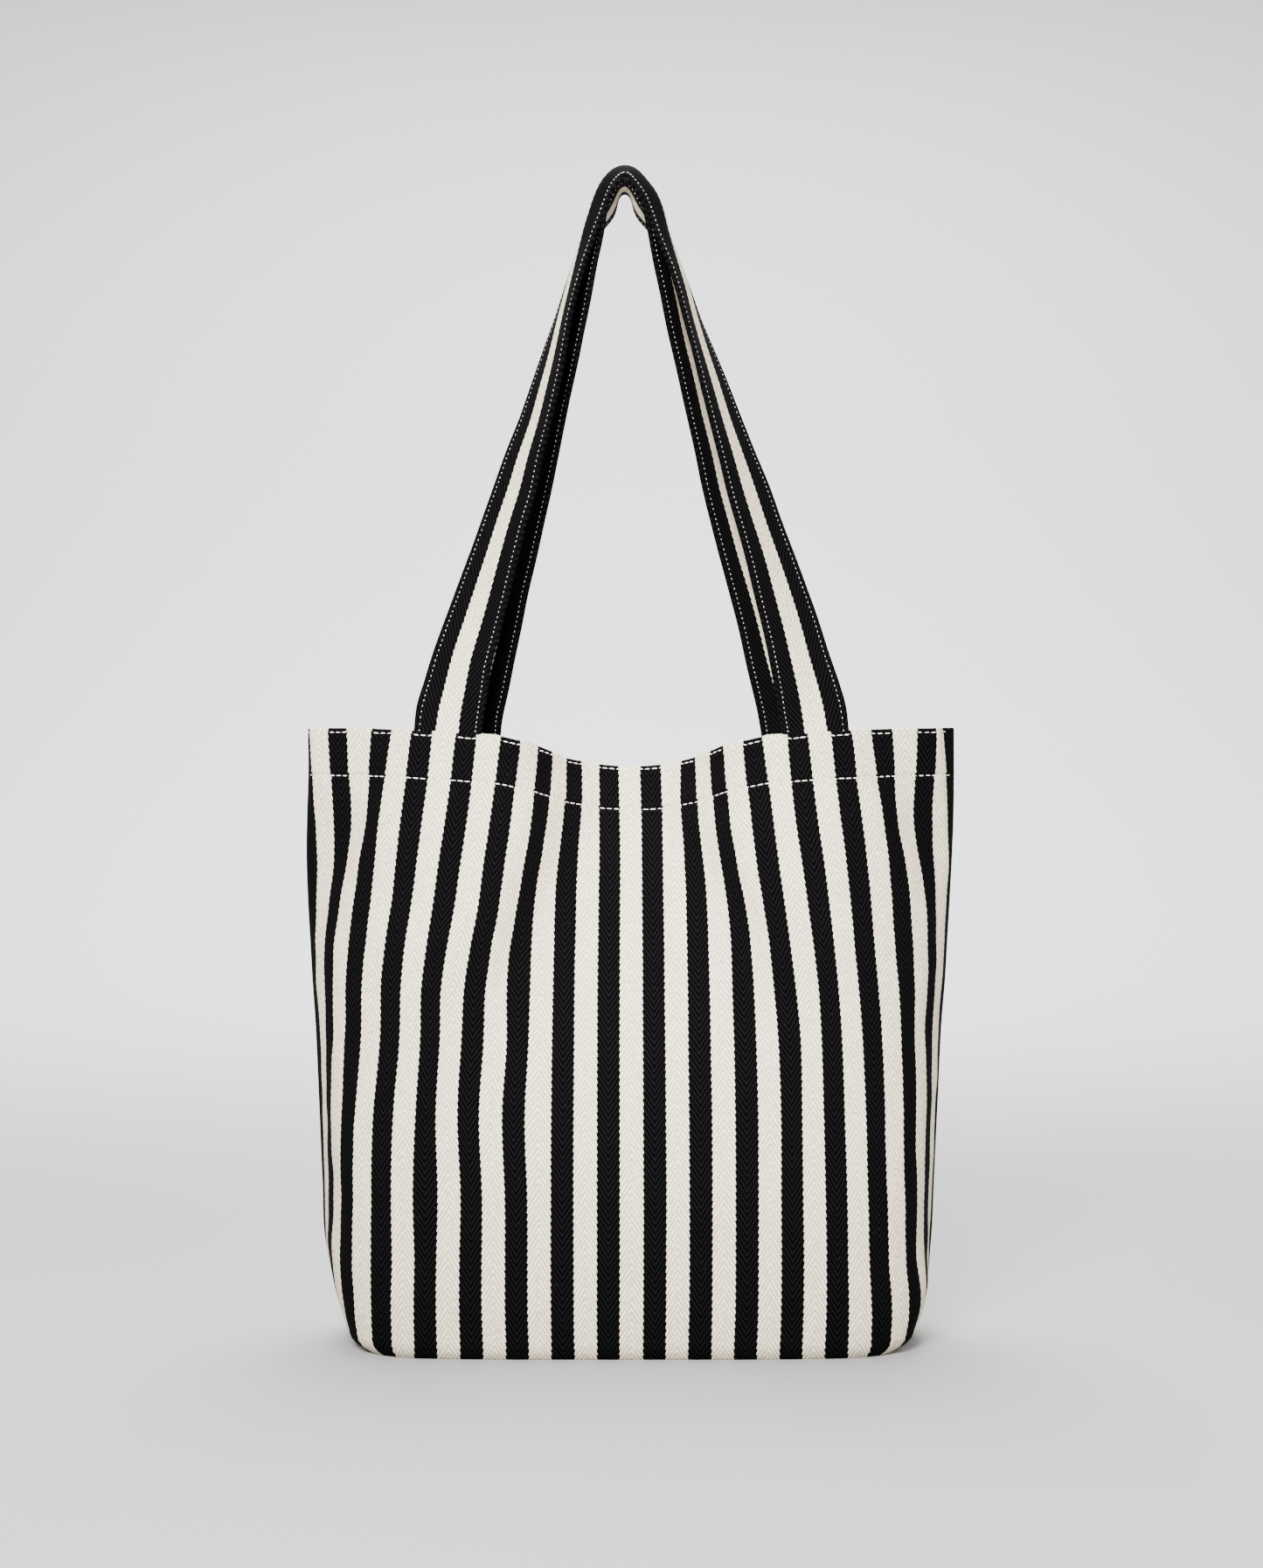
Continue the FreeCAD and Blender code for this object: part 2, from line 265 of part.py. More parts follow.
class Panel:
    """Outer face of one body panel, in cloth coordinates."""

    def __init__(self, X, Y, rim, inward):
        self.X, self.Y, self.rim, self.inward = X, Y, rim, inward

    def z(self, s, t):
        return t * lerp(abs(s), self.rim) / CLOTH_H

    def xy(self, s, t):
        def at(tab):
            cols = [lerp(s, list(zip(S, row))) for row in tab]
            return lerp(t, list(zip(T, cols)))
        return at(self.X), at(self.Y)

    def inwards(self, s, t):
        e = 6.0
        s0, s1 = max(S[0], s - e), min(S[-1], s + e)
        x0, y0 = self.xy(s0, t)
        x1, y1 = self.xy(s1, t)
        dx, dy = x1 - x0, y1 - y0
        n = math.hypot(dx, dy)
        if abs(s) > S[-1] - 0.1:
            return (1.0 if s < 0 else -1.0), 0.0
        return -dy / n * self.inward, dx / n * self.inward

    def point(self, s, t, off, z=None):
        x, y = self.xy(s, t)
        nx, ny = self.inwards(s, t)
        return V(x + nx * off, y + ny * off, self.z(s, t) if z is None else z)

    def grid(self, ss, tt, off):
        f = off if callable(off) else (lambda s: off)
        return [[self.point(s, t, f(s)) for s in ss] for t in tt]


front = Panel(FRONT_X, FRONT_Y, RIM_Z_FRONT, 1.0)
back = Panel(BACK_X, BACK_Y, RIM_Z_BACK, -1.0)


def half_base(panel):
    """Half of the boxed base, a flat plate that reaches into the wall cloth."""
    pts = [V(panel.X[0][j], panel.Y[0][j], 0) for j in range(len(S))]
    inset = []
    for j, s in enumerate(S):
        nx, ny = panel.inwards(s, 0)
        inset.append(V(pts[j].x + nx * 1.0, pts[j].y + ny * 1.0, 0))
    inset[0] = V(pts[0].x + 1.0, 0, 0)
    inset[-1] = V(pts[-1].x - 1.0, 0, 0)
    wire = Part.Wire([Part.LineSegment(a, b).toShape() for a, b in zip(inset, inset[1:] + inset[:1])])
    return Part.Face(wire).extrude(V(0, 0, CLOTH))


def panel_solid(panel):
    wall = slab(panel.grid(S, T, 0.0), panel.grid(S, T, CLOTH), 3, 3, 1, 3)
    sol = wall.fuse(half_base(panel))
    return sol


def pocket(s):
    """1 where a strap end lies under the hem, 0 elsewhere."""
    return 1.0 if 90 < abs(s) < 164 else 0.0


# Every layer that lies on a panel uses the panel's own control net, moved in or out by an
# offset, so that the layers stay parallel and never meet.
def hem_solid(panel):
    lift = CLOTH + GAP

    def near(s):
        return lift + (STRAP_T + GAP) * pocket(s)

    us = spans(param(T, CLOTH_H - HEM_DEPTH - 2.0), param(T, CLOTH_H - 0.5), 1)
    vs = spans(param(S, -213), param(S, 213), 12)
    return patch(panel.grid(S, T, near), panel.grid(S, T, lambda s: near(s) + HEM_CLOTH), us, vs)


def strap_end(panel, side):
    w = STRAP_W / 2
    lift = CLOTH + GAP
    us = spans(param(T, CLOTH_H - STRAP_END_DEPTH), param(T, CLOTH_H), 1)
    vs = spans(param(S, side * STRAP_S - w), param(S, side * STRAP_S + w), 2)
    return patch(panel.grid(S, T, lift), panel.grid(S, T, lift + STRAP_T - GAP), us, vs)


def stitch_band(panel, t):
    us = spans(param(T, t - STITCH_W / 2), param(T, t + STITCH_W / 2), 1)
    vs = spans(param(S, -219), param(S, 219), 12)
    return patch(panel.grid(S, T, -STITCH_T - 0.08), panel.grid(S, T, -0.08), us, vs)


# ---- straps: a flat band, facing forwards at the rim and turned flat side up at the top ----
def band_rows(legs, top):
    """Rows of (outer edge, inner edge) from the left foot over the top to the right foot."""
    rows = []
    for z, lo, li, ro, ri, y, tw in legs:
        s = STRAP_W / 2 * math.sin(math.radians(tw))
        rows.append((V(lo, y + s, z), V(li, y - s, z)))
    for x, z, tilt in top:
        rows.append((V(x, STRAP_W / 2, z + tilt), V(x, -STRAP_W / 2, z - tilt)))
    for z, lo, li, ro, ri, y, tw in reversed(legs):
        s = STRAP_W / 2 * math.sin(math.radians(tw))
        rows.append((V(ro, y + s, z), V(ri, y - s, z)))
    return rows


def band_frames(rows):
    """Middle, half-width vector and outward normal of each row."""
    mid = [(o + i) * 0.5 for o, i in rows]
    res = []
    n = len(rows)
    for k, (o, i) in enumerate(rows):
        a, b = mid[max(0, k - 1)], mid[min(n - 1, k + 1)]
        t = b - a
        w = (o - i) * 0.5
        nrm = w.cross(t)
        nrm.normalize()
        if k in (0, n - 1):
            nrm.z = 0
            nrm.normalize()
        res.append((mid[k], w, nrm))
    return res


def band_grid(frames, ws, off):
    """Control grid; ws are positions over the width, -1 inner edge to +1 outer edge."""
    return [[m + w * k + n * off for k in ws] for m, w, n in frames]


def strap_solid(frames):
    ws = [-1, -0.33, 0.33, 1]
    h = STRAP_T / 2
    return slab(band_grid(frames, ws, h), band_grid(frames, ws, -h), 3, 3, 12, 1)


def strap_stitching(frames):
    h = STRAP_T / 2 + 0.08
    k = 1 - STRAP_STITCH_IN / (STRAP_W / 2)
    d = STITCH_W / STRAP_W
    last = len(frames) - 3
    us = spans(0.8, last - 0.8, 12)
    parts = []
    for c in (k, -k):
        ws = [c - d, c + d]
        parts.append(patch(band_grid(frames, ws, -h - STITCH_T), band_grid(frames, ws, -h), us, [0.0, 1.0], 3, 1))
    return Part.makeCompound(parts)


FRONT_TOP = [(-15.3, 667.5, 0.9), (-3.5, 678.3, 1.5), (8.3, 667.5, 0.9)]
BACK_TOP = [(-9.3, 664.0, 0.9), (-3.5, 673.2, 1.5), (2.3, 664.0, 0.9)]

front_frames = band_frames(band_rows(FRONT_LEGS, FRONT_TOP))
back_frames = band_frames(band_rows(BACK_LEGS, BACK_TOP))


# ---- bound seam allowances inside ----
def side_binding(side):
    j = 0 if side < 0 else -1
    in0, in1 = CLOTH + 2.8, CLOTH + 2.8 + BINDING_W
    net = [V(front.X[i][j], front.Y[i][j], front.z(S[j], T[i])) for i in range(len(T))]
    a = [[V(p.x - side * d, p.y - BINDING_T / 2, p.z) for d in (in0, in1)] for p in net]
    b = [[V(p.x - side * d, p.y + BINDING_T / 2, p.z) for d in (in0, in1)] for p in net]
    us = spans(param(T, 12.0), param(T, 318.0), 4)
    return patch(a, b, us, [0.0, 1.0], 3, 1)


base_binding = Part.makeBox(270, BINDING_T, BINDING_W - 1, V(-135, -BINDING_T / 2, CLOTH + 0.3))


def corner_binding(side):
    x = 142.5 if side > 0 else -142.5 - BINDING_T
    return Part.makeBox(BINDING_T, 56, BINDING_W - 2, V(x, -28, CLOTH + 0.3))


parts = {
    "front_panel": panel_solid(front),
    "back_panel": panel_solid(back),
    "front_hem": hem_solid(front),
    "back_hem": hem_solid(back),
    "front_strap": strap_solid(front_frames),
    "back_strap": strap_solid(back_frames),
    "front_strap_left_end": strap_end(front, -1),
    "front_strap_right_end": strap_end(front, 1),
    "back_strap_left_end": strap_end(back, -1),
    "back_strap_right_end": strap_end(back, 1),
    "side_seam_binding_left": side_binding(-1),
    "side_seam_binding_right": side_binding(1),
    "base_seam_binding": base_binding,
    "corner_binding_left": corner_binding(-1),
    "corner_binding_right": corner_binding(1),
    "front_rim_stitching": stitch_band(front, CLOTH_H - RIM_STITCH),
    "back_rim_stitching": stitch_band(back, CLOTH_H - RIM_STITCH),
    "front_hem_stitching": stitch_band(front, CLOTH_H - HEM_STITCH),
    "back_hem_stitching": stitch_band(back, CLOTH_H - HEM_STITCH),
    "front_strap_stitching": strap_stitching(front_frames),
    "back_strap_stitching": strap_stitching(back_frames),
}

os.makedirs("parts", exist_ok=True)
for name, shape in parts.items():
    ok = shape.isValid() and all(s.isClosed() for s in shape.Solids)
    bb = shape.BoundBox
    print("%-26s solids %d valid %s vol %.0f  x %.1f %.1f y %.1f %.1f z %.1f %.1f" % (
        name, len(shape.Solids), ok, shape.Volume, bb.XMin, bb.XMax, bb.YMin, bb.YMax, bb.ZMin, bb.ZMax))
    shape.exportStep("parts/%s.step" % name)
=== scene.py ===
"""Looks of a striped herringbone canvas tote bag, in metres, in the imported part's frame.

Cloth coordinates, in millimetres: s runs round a panel from the left seam to the right seam,
t runs up the cloth from the base edge to the rim. Stripes, weave and stitches all follow them.
"""
import bpy
import math
import numpy as np
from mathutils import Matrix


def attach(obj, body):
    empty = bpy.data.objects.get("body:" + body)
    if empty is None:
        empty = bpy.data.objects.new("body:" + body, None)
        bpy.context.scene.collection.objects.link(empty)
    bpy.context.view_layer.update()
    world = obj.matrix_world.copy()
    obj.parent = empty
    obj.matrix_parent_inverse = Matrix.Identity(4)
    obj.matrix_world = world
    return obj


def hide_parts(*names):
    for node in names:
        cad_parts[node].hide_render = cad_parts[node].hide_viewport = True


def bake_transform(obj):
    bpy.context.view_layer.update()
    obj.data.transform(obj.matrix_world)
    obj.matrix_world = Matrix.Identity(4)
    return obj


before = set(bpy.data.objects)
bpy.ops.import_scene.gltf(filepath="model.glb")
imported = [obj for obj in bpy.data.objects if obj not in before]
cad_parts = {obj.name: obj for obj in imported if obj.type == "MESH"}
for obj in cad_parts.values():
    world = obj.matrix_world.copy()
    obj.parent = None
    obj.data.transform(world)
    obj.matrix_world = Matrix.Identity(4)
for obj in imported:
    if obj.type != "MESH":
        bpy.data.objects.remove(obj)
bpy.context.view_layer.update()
rng = np.random.default_rng(11)

# ------------------------------------------------------------------ dimensions (mm)
STRIPE = 12.7
SEAM_S = 222.25
CLOTH_H = 353.0
CLOTH = 1.7
HEM_T = CLOTH_H - 27.4          # hem stitching
RIM_T = CLOTH_H - 2.3           # edge stitching
STRAP_W = 38.1
STRAP_H = 1.25                  # half thickness of a strap
STITCH_P = 4.27                 # body stitch pitch
STRAP_P = 2.95                  # strap stitch pitch

# outer faces of the two panels at (t, s)
S = np.array([-222.25, -209.55, -196.85, -184.15, -171.45, -158.75, -146.05, -133.35, -120.65, -107.95, -95.25, -82.55, -69.85, -57.15, -44.45, -31.75, -19.05, 0, 19.05, 31.75, 44.45, 57.15, 69.85, 82.55, 95.25, 107.95, 120.65, 133.35, 146.05, 158.75, 171.45, 184.15, 196.85, 209.55, 222.25])
T = np.array([0, 5, 15, 29, 53, 90, 137, 182, 205, 230, 254, 278, 302, 326, 340, 353])
FX = np.array([
    [-152, -152, -151.8, -151, -149.1, -145.4, -139, -130.7, -120.8, -107.8, -95.1, -82.1, -69.7, -56.8, -44.5, -31.4, -19.2, -0.1, 19.1, 31.2, 44.5, 56.7, 69.7, 82, 94.9, 107.2, 120.4, 130.7, 139, 145.4, 149.1, 151, 151.8, 152, 152],
    [-158.6, -158.6, -158.3, -157.5, -155.6, -150.8, -143, -132.3, -120.4, -107.4, -94.8, -81.8, -69.5, -56.6, -44.4, -31.3, -19.1, -0.1, 19, 31.2, 44.4, 56.5, 69.4, 81.8, 94.6, 106.8, 120, 132.3, 143, 150.8, 155.6, 157.5, 158.3, 158.6, 158.6],
    [-164.5, -164.2, -163.5, -162.3, -159.6, -153.8, -144.5, -132.8, -120.5, -107.7, -95.1, -82.2, -69.7, -56.9, -44.5, -31.6, -19.2, -0.1, 19.1, 31.4, 44.5, 56.8, 69.8, 82.2, 94.9, 107.2, 120.3, 132.8, 144.5, 153.8, 159.6, 162.3, 163.5, 164.2, 164.5],
    [-170, -169.2, -168, -166, -162.1, -154.8, -144.8, -133.1, -120.7, -108, -95.5, -82.7, -70.1, -57.3, -44.7, -31.8, -19.3, 0, 19.3, 31.8, 44.8, 57.3, 70.3, 82.7, 95.4, 107.8, 120.6, 133.1, 144.8, 154.8, 162.1, 166, 168, 169.2, 170],
    [-176.8, -174.8, -172.6, -169.2, -163.8, -155.9, -145, -132.8, -120.6, -108.2, -95.7, -83, -70.4, -57.6, -45, -32, -19.3, 0.1, 19.4, 32.1, 45.1, 57.7, 70.7, 83.2, 95.9, 108.2, 120.5, 132.2, 143.6, 153.5, 160.9, 166.3, 169.5, 171.4, 173.3],
    [-179.7, -177, -173.7, -169.6, -164.4, -156.5, -145.8, -134.1, -122.1, -108, -95.6, -83.3, -70.9, -58.1, -45.2, -32.3, -19.4, 0.1, 19.7, 32.3, 45.4, 58.1, 71.1, 83.5, 96, 108.2, 120.4, 131.7, 142.8, 153.2, 161.4, 166.5, 170.7, 173.7, 175.9],
    [-182.6, -179.4, -175.6, -171.6, -164.5, -155.7, -145.1, -133.4, -121.2, -109.8, -98, -85.7, -73, -60, -45.4, -32.5, -19.5, 0, 19.6, 32.4, 45.6, 58.4, 71.5, 84, 96.1, 107.8, 119.7, 131.4, 142.7, 153.4, 161.7, 168.7, 172.6, 176.3, 179],
    [-185.3, -181.3, -176.6, -171, -163.4, -153.1, -141.8, -130.2, -118.9, -107.7, -95.9, -83.4, -70.9, -58.3, -45.3, -32.5, -19.6, -0.1, 19.4, 32.2, 45.2, 58.1, 70.9, 82.9, 95.6, 106.9, 118.4, 129.6, 141.3, 152.7, 161.7, 168.4, 174, 178.6, 181.8],
    [-187.2, -183, -177.3, -171.3, -163.4, -153, -141.8, -130, -118.6, -107.3, -95, -83, -71.3, -57.9, -45.1, -32.5, -19.6, -0.1, 19.2, 32.2, 45.1, 57.7, 70.2, 81.1, 93.3, 105.5, 116.8, 128, 139.8, 151.7, 161.7, 169.6, 175.3, 180.7, 184],
    [-188.9, -183.9, -177.3, -170.5, -161.4, -150.7, -139.4, -127.6, -115.7, -104.1, -91.6, -80.1, -70.2, -57.4, -44.8, -32.4, -19.5, -0.1, 19.1, 32, 44.6, 57.2, 68.5, 78.4, 90.2, 102.7, 114.4, 125.9, 137.8, 149.7, 160.8, 169.8, 176.6, 182.7, 185.7],
    [-190.4, -183.7, -175.3, -167.9, -159.4, -148.6, -136.4, -124.3, -112.2, -99.8, -87.1, -75.4, -66.1, -56, -44.3, -31.9, -19.2, -0.2, 18.9, 31.7, 44, 55.6, 65.5, 74.9, 87, 99.6, 111.9, 123.8, 136, 147.9, 159.1, 168.8, 176.4, 184.3, 187.3],
    [-191, -183.7, -173.2, -164.1, -156.4, -146.2, -133.8, -121.4, -109.2, -96.6, -84, -72.2, -62, -53.4, -43.4, -31.6, -19.1, -0.2, 18.6, 31.2, 42.6, 52.3, 61.2, 71.5, 83.9, 96.5, 109, 121.3, 133.6, 146, 156.4, 165.4, 175.4, 185.1, 188.4],
    [-190.4, -184.6, -173.1, -161.5, -152, -143.6, -130.9, -118.2, -105.7, -93.3, -80.8, -69.2, -58.3, -49.6, -41, -30.6, -19.1, -0.3, 18.4, 29.9, 40, 48.7, 57.3, 68.6, 81, 93.1, 105.7, 118.4, 131, 143.5, 152.7, 163, 175.1, 184.7, 189],
    [-189.5, -185.6, -174.1, -162.5, -150.5, -140.3, -128.2, -115.6, -102.9, -90.7, -77.9, -66.5, -56.1, -47.1, -38.6, -29.1, -19.2, -0.7, 17.8, 28.3, 38.2, 47, 55.4, 66.3, 78.3, 90.8, 103.2, 115.8, 128.3, 140.3, 151.3, 163.6, 175.6, 183.1, 189.1],
    [-189.4, -186.4, -175.1, -163.2, -149.9, -138.4, -126.7, -114.3, -101.5, -89.4, -76.3, -64.9, -55, -46.4, -38.6, -29.3, -19.4, -1.1, 17.6, 28.6, 38, 46.5, 54.4, 65, 76.5, 89.7, 101.8, 114.4, 126.9, 138.4, 150.6, 164.1, 176.1, 181.4, 189],
    [-189.5, -187.1, -175.9, -163.9, -149.2, -136.7, -125.3, -113.1, -100, -88, -74.8, -63.4, -54, -45.6, -38.5, -29.6, -19.6, -1.3, 17.4, 28.9, 37.7, 45.8, 53.4, 63.7, 74.9, 88.6, 100.4, 113.1, 125.5, 136.7, 150, 164.5, 176.6, 180.1, 188.9]])
FY = np.array([
    [0, -7.5, -15, -22.5, -30, -37, -43, -47, -49.8, -51.2, -52, -52.5, -52.8, -53, -53, -53, -53, -53, -53, -53, -53, -53, -52.8, -52.5, -52, -51.2, -49.8, -47, -43, -37, -30, -22.5, -15, -7.5, 0],
    [0, -8.3, -16.7, -25, -33.3, -41.1, -47.5, -51.9, -54.4, -55.6, -56.1, -56.3, -56.5, -56.6, -56.6, -56.5, -56.5, -56.5, -56.5, -56.5, -56.6, -56.6, -56.5, -56.3, -56.1, -55.6, -54.4, -51.9, -47.5, -41.1, -33.3, -25, -16.7, -8.3, 0],
    [0.5, -8.3, -17.2, -26.2, -34.9, -42.9, -49.2, -53.2, -55.3, -56.2, -56.5, -56.7, -56.8, -56.8, -56.8, -56.9, -56.9, -56.9, -56.9, -56.9, -56.8, -56.8, -56.8, -56.7, -56.5, -56.2, -55.3, -53.2, -49.2, -42.9, -34.9, -26.2, -17.2, -8.3, 0.5],
    [1.3, -7.6, -17, -26.7, -35.7, -43.7, -49.7, -53.2, -54.8, -55.3, -55.5, -55.5, -55.5, -55.5, -55.5, -55.6, -55.6, -55.6, -55.6, -55.6, -55.5, -55.5, -55.5, -55.5, -55.5, -55.3, -54.8, -53.2, -49.7, -43.7, -35.7, -26.7, -17, -7.6, 1.3],
    [3, -5, -14, -24.5, -34, -42, -48, -51.1, -52.1, -52.1, -51.9, -51.7, -51.5, -51.4, -51.5, -51.5, -51.6, -51.6, -51.6, -51.5, -51.5, -51.4, -51.5, -51.7, -51.9, -52.1, -52.1, -51.1, -48, -42, -34, -24.5, -14, -5, 3],
    [8, -1, -10, -20.1, -30.1, -38.1, -43.1, -45.6, -46.2, -45.5, -44.8, -44.5, -44.2, -44, -44, -44.1, -44.2, -44.3, -44.2, -44.1, -44, -44, -44.2, -44.5, -44.8, -45.5, -46.2, -45.6, -43.1, -38.1, -30.1, -20.1, -10, -1, 8],
    [14, 4.9, -4.1, -14.6, -24.1, -31.1, -35.7, -38.2, -38.8, -37.4, -35.5, -34.3, -33.6, -32.9, -32.8, -33, -33.2, -33.3, -33.2, -33, -32.8, -32.9, -33.6, -34.3, -35.5, -37.4, -38.8, -38.2, -35.7, -31.1, -24.1, -14.6, -4.1, 4.9, 14],
    [18, 8.9, -0.1, -10.1, -19.1, -26.1, -31.2, -34.2, -34.7, -32.3, -29, -25.9, -23.4, -21.9, -21.1, -20.6, -20.7, -20.7, -20.7, -20.6, -21.1, -21.9, -23.4, -25.9, -29, -32.3, -34.7, -34.2, -31.2, -26.1, -19.1, -10.1, -0.1, 8.9, 18],
    [19.9, 10.9, 1.4, -8.6, -17.1, -24.1, -29.2, -33.1, -34.1, -32, -28.1, -23.5, -19.2, -16.2, -14.7, -13.8, -13.8, -13.6, -13.8, -13.8, -14.7, -16.2, -19.2, -23.5, -28.1, -32, -34.1, -33.1, -29.2, -24.1, -17.1, -8.6, 1.4, 10.9, 19.9],
    [21.9, 12.9, 2.9, -7.1, -15.6, -22.6, -28.1, -32.1, -34, -32, -28.4, -23.4, -16.6, -11.8, -9.1, -7.4, -6.7, -6.2, -6.7, -7.4, -9.1, -11.8, -16.6, -23.4, -28.4, -32, -34, -32.1, -28.1, -22.6, -15.6, -7.1, 2.9, 12.9, 21.9],
    [23, 14, 5.4, -4.6, -13.1, -20.2, -25.3, -29.3, -31.8, -30.3, -28.1, -23.9, -16.3, -9.1, -4.7, -1.9, -0.6, 0.6, -0.6, -1.9, -4.7, -9.1, -16.3, -23.9, -28.1, -30.3, -31.8, -29.3, -25.3, -20.2, -13.1, -4.6, 5.4, 14, 23],
    [22, 13, 6, -3.1, -12.1, -20, -25, -28.1, -30.2, -28.4, -26.4, -22.9, -16.2, -7.5, -0.3, 4.1, 6.4, 8.8, 6.4, 4.1, -0.3, -7.5, -16.2, -22.9, -26.4, -28.4, -30.2, -28.1, -25, -20, -12.1, -3.1, 6, 13, 22],
    [20.1, 11.1, 4.1, -3, -11.1, -18.2, -23.2, -26.3, -27.5, -25.6, -22.9, -19.8, -13.6, -5.3, 3.3, 9.7, 14.4, 17.6, 14.4, 9.7, 3.3, -5.3, -13.6, -19.8, -22.9, -25.6, -27.5, -26.3, -23.2, -18.2, -11.1, -3, 4.1, 11.1, 20.1],
    [19, 9.1, 3.1, -3, -8.2, -14.4, -19.5, -22.2, -22, -20.3, -17.5, -13.9, -7.6, 0.4, 8.5, 16.3, 22.8, 26, 22.8, 16.3, 8.5, 0.4, -7.6, -13.9, -17.5, -20.3, -22, -22.2, -19.5, -14.4, -8.2, -3, 3.1, 9.1, 19],
    [18.5, 9, 3.5, -2.5, -7.5, -13.1, -18.1, -20.9, -20.6, -18.7, -16, -11.4, -3.9, 5.4, 13.7, 21.8, 27.5, 30.9, 27.5, 21.8, 13.7, 5.4, -3.9, -11.4, -16, -18.7, -20.6, -20.9, -18.1, -13.1, -7.5, -2.5, 3.5, 9, 18.5],
    [18, 9, 4, -2, -7, -12.1, -17.2, -20.2, -20.1, -18.2, -16, -11.2, -3.4, 6.7, 16.4, 25.6, 31.3, 35.2, 31.3, 25.6, 16.4, 6.7, -3.4, -11.2, -16, -18.2, -20.1, -20.2, -17.2, -12.1, -7, -2, 4, 9, 18]])
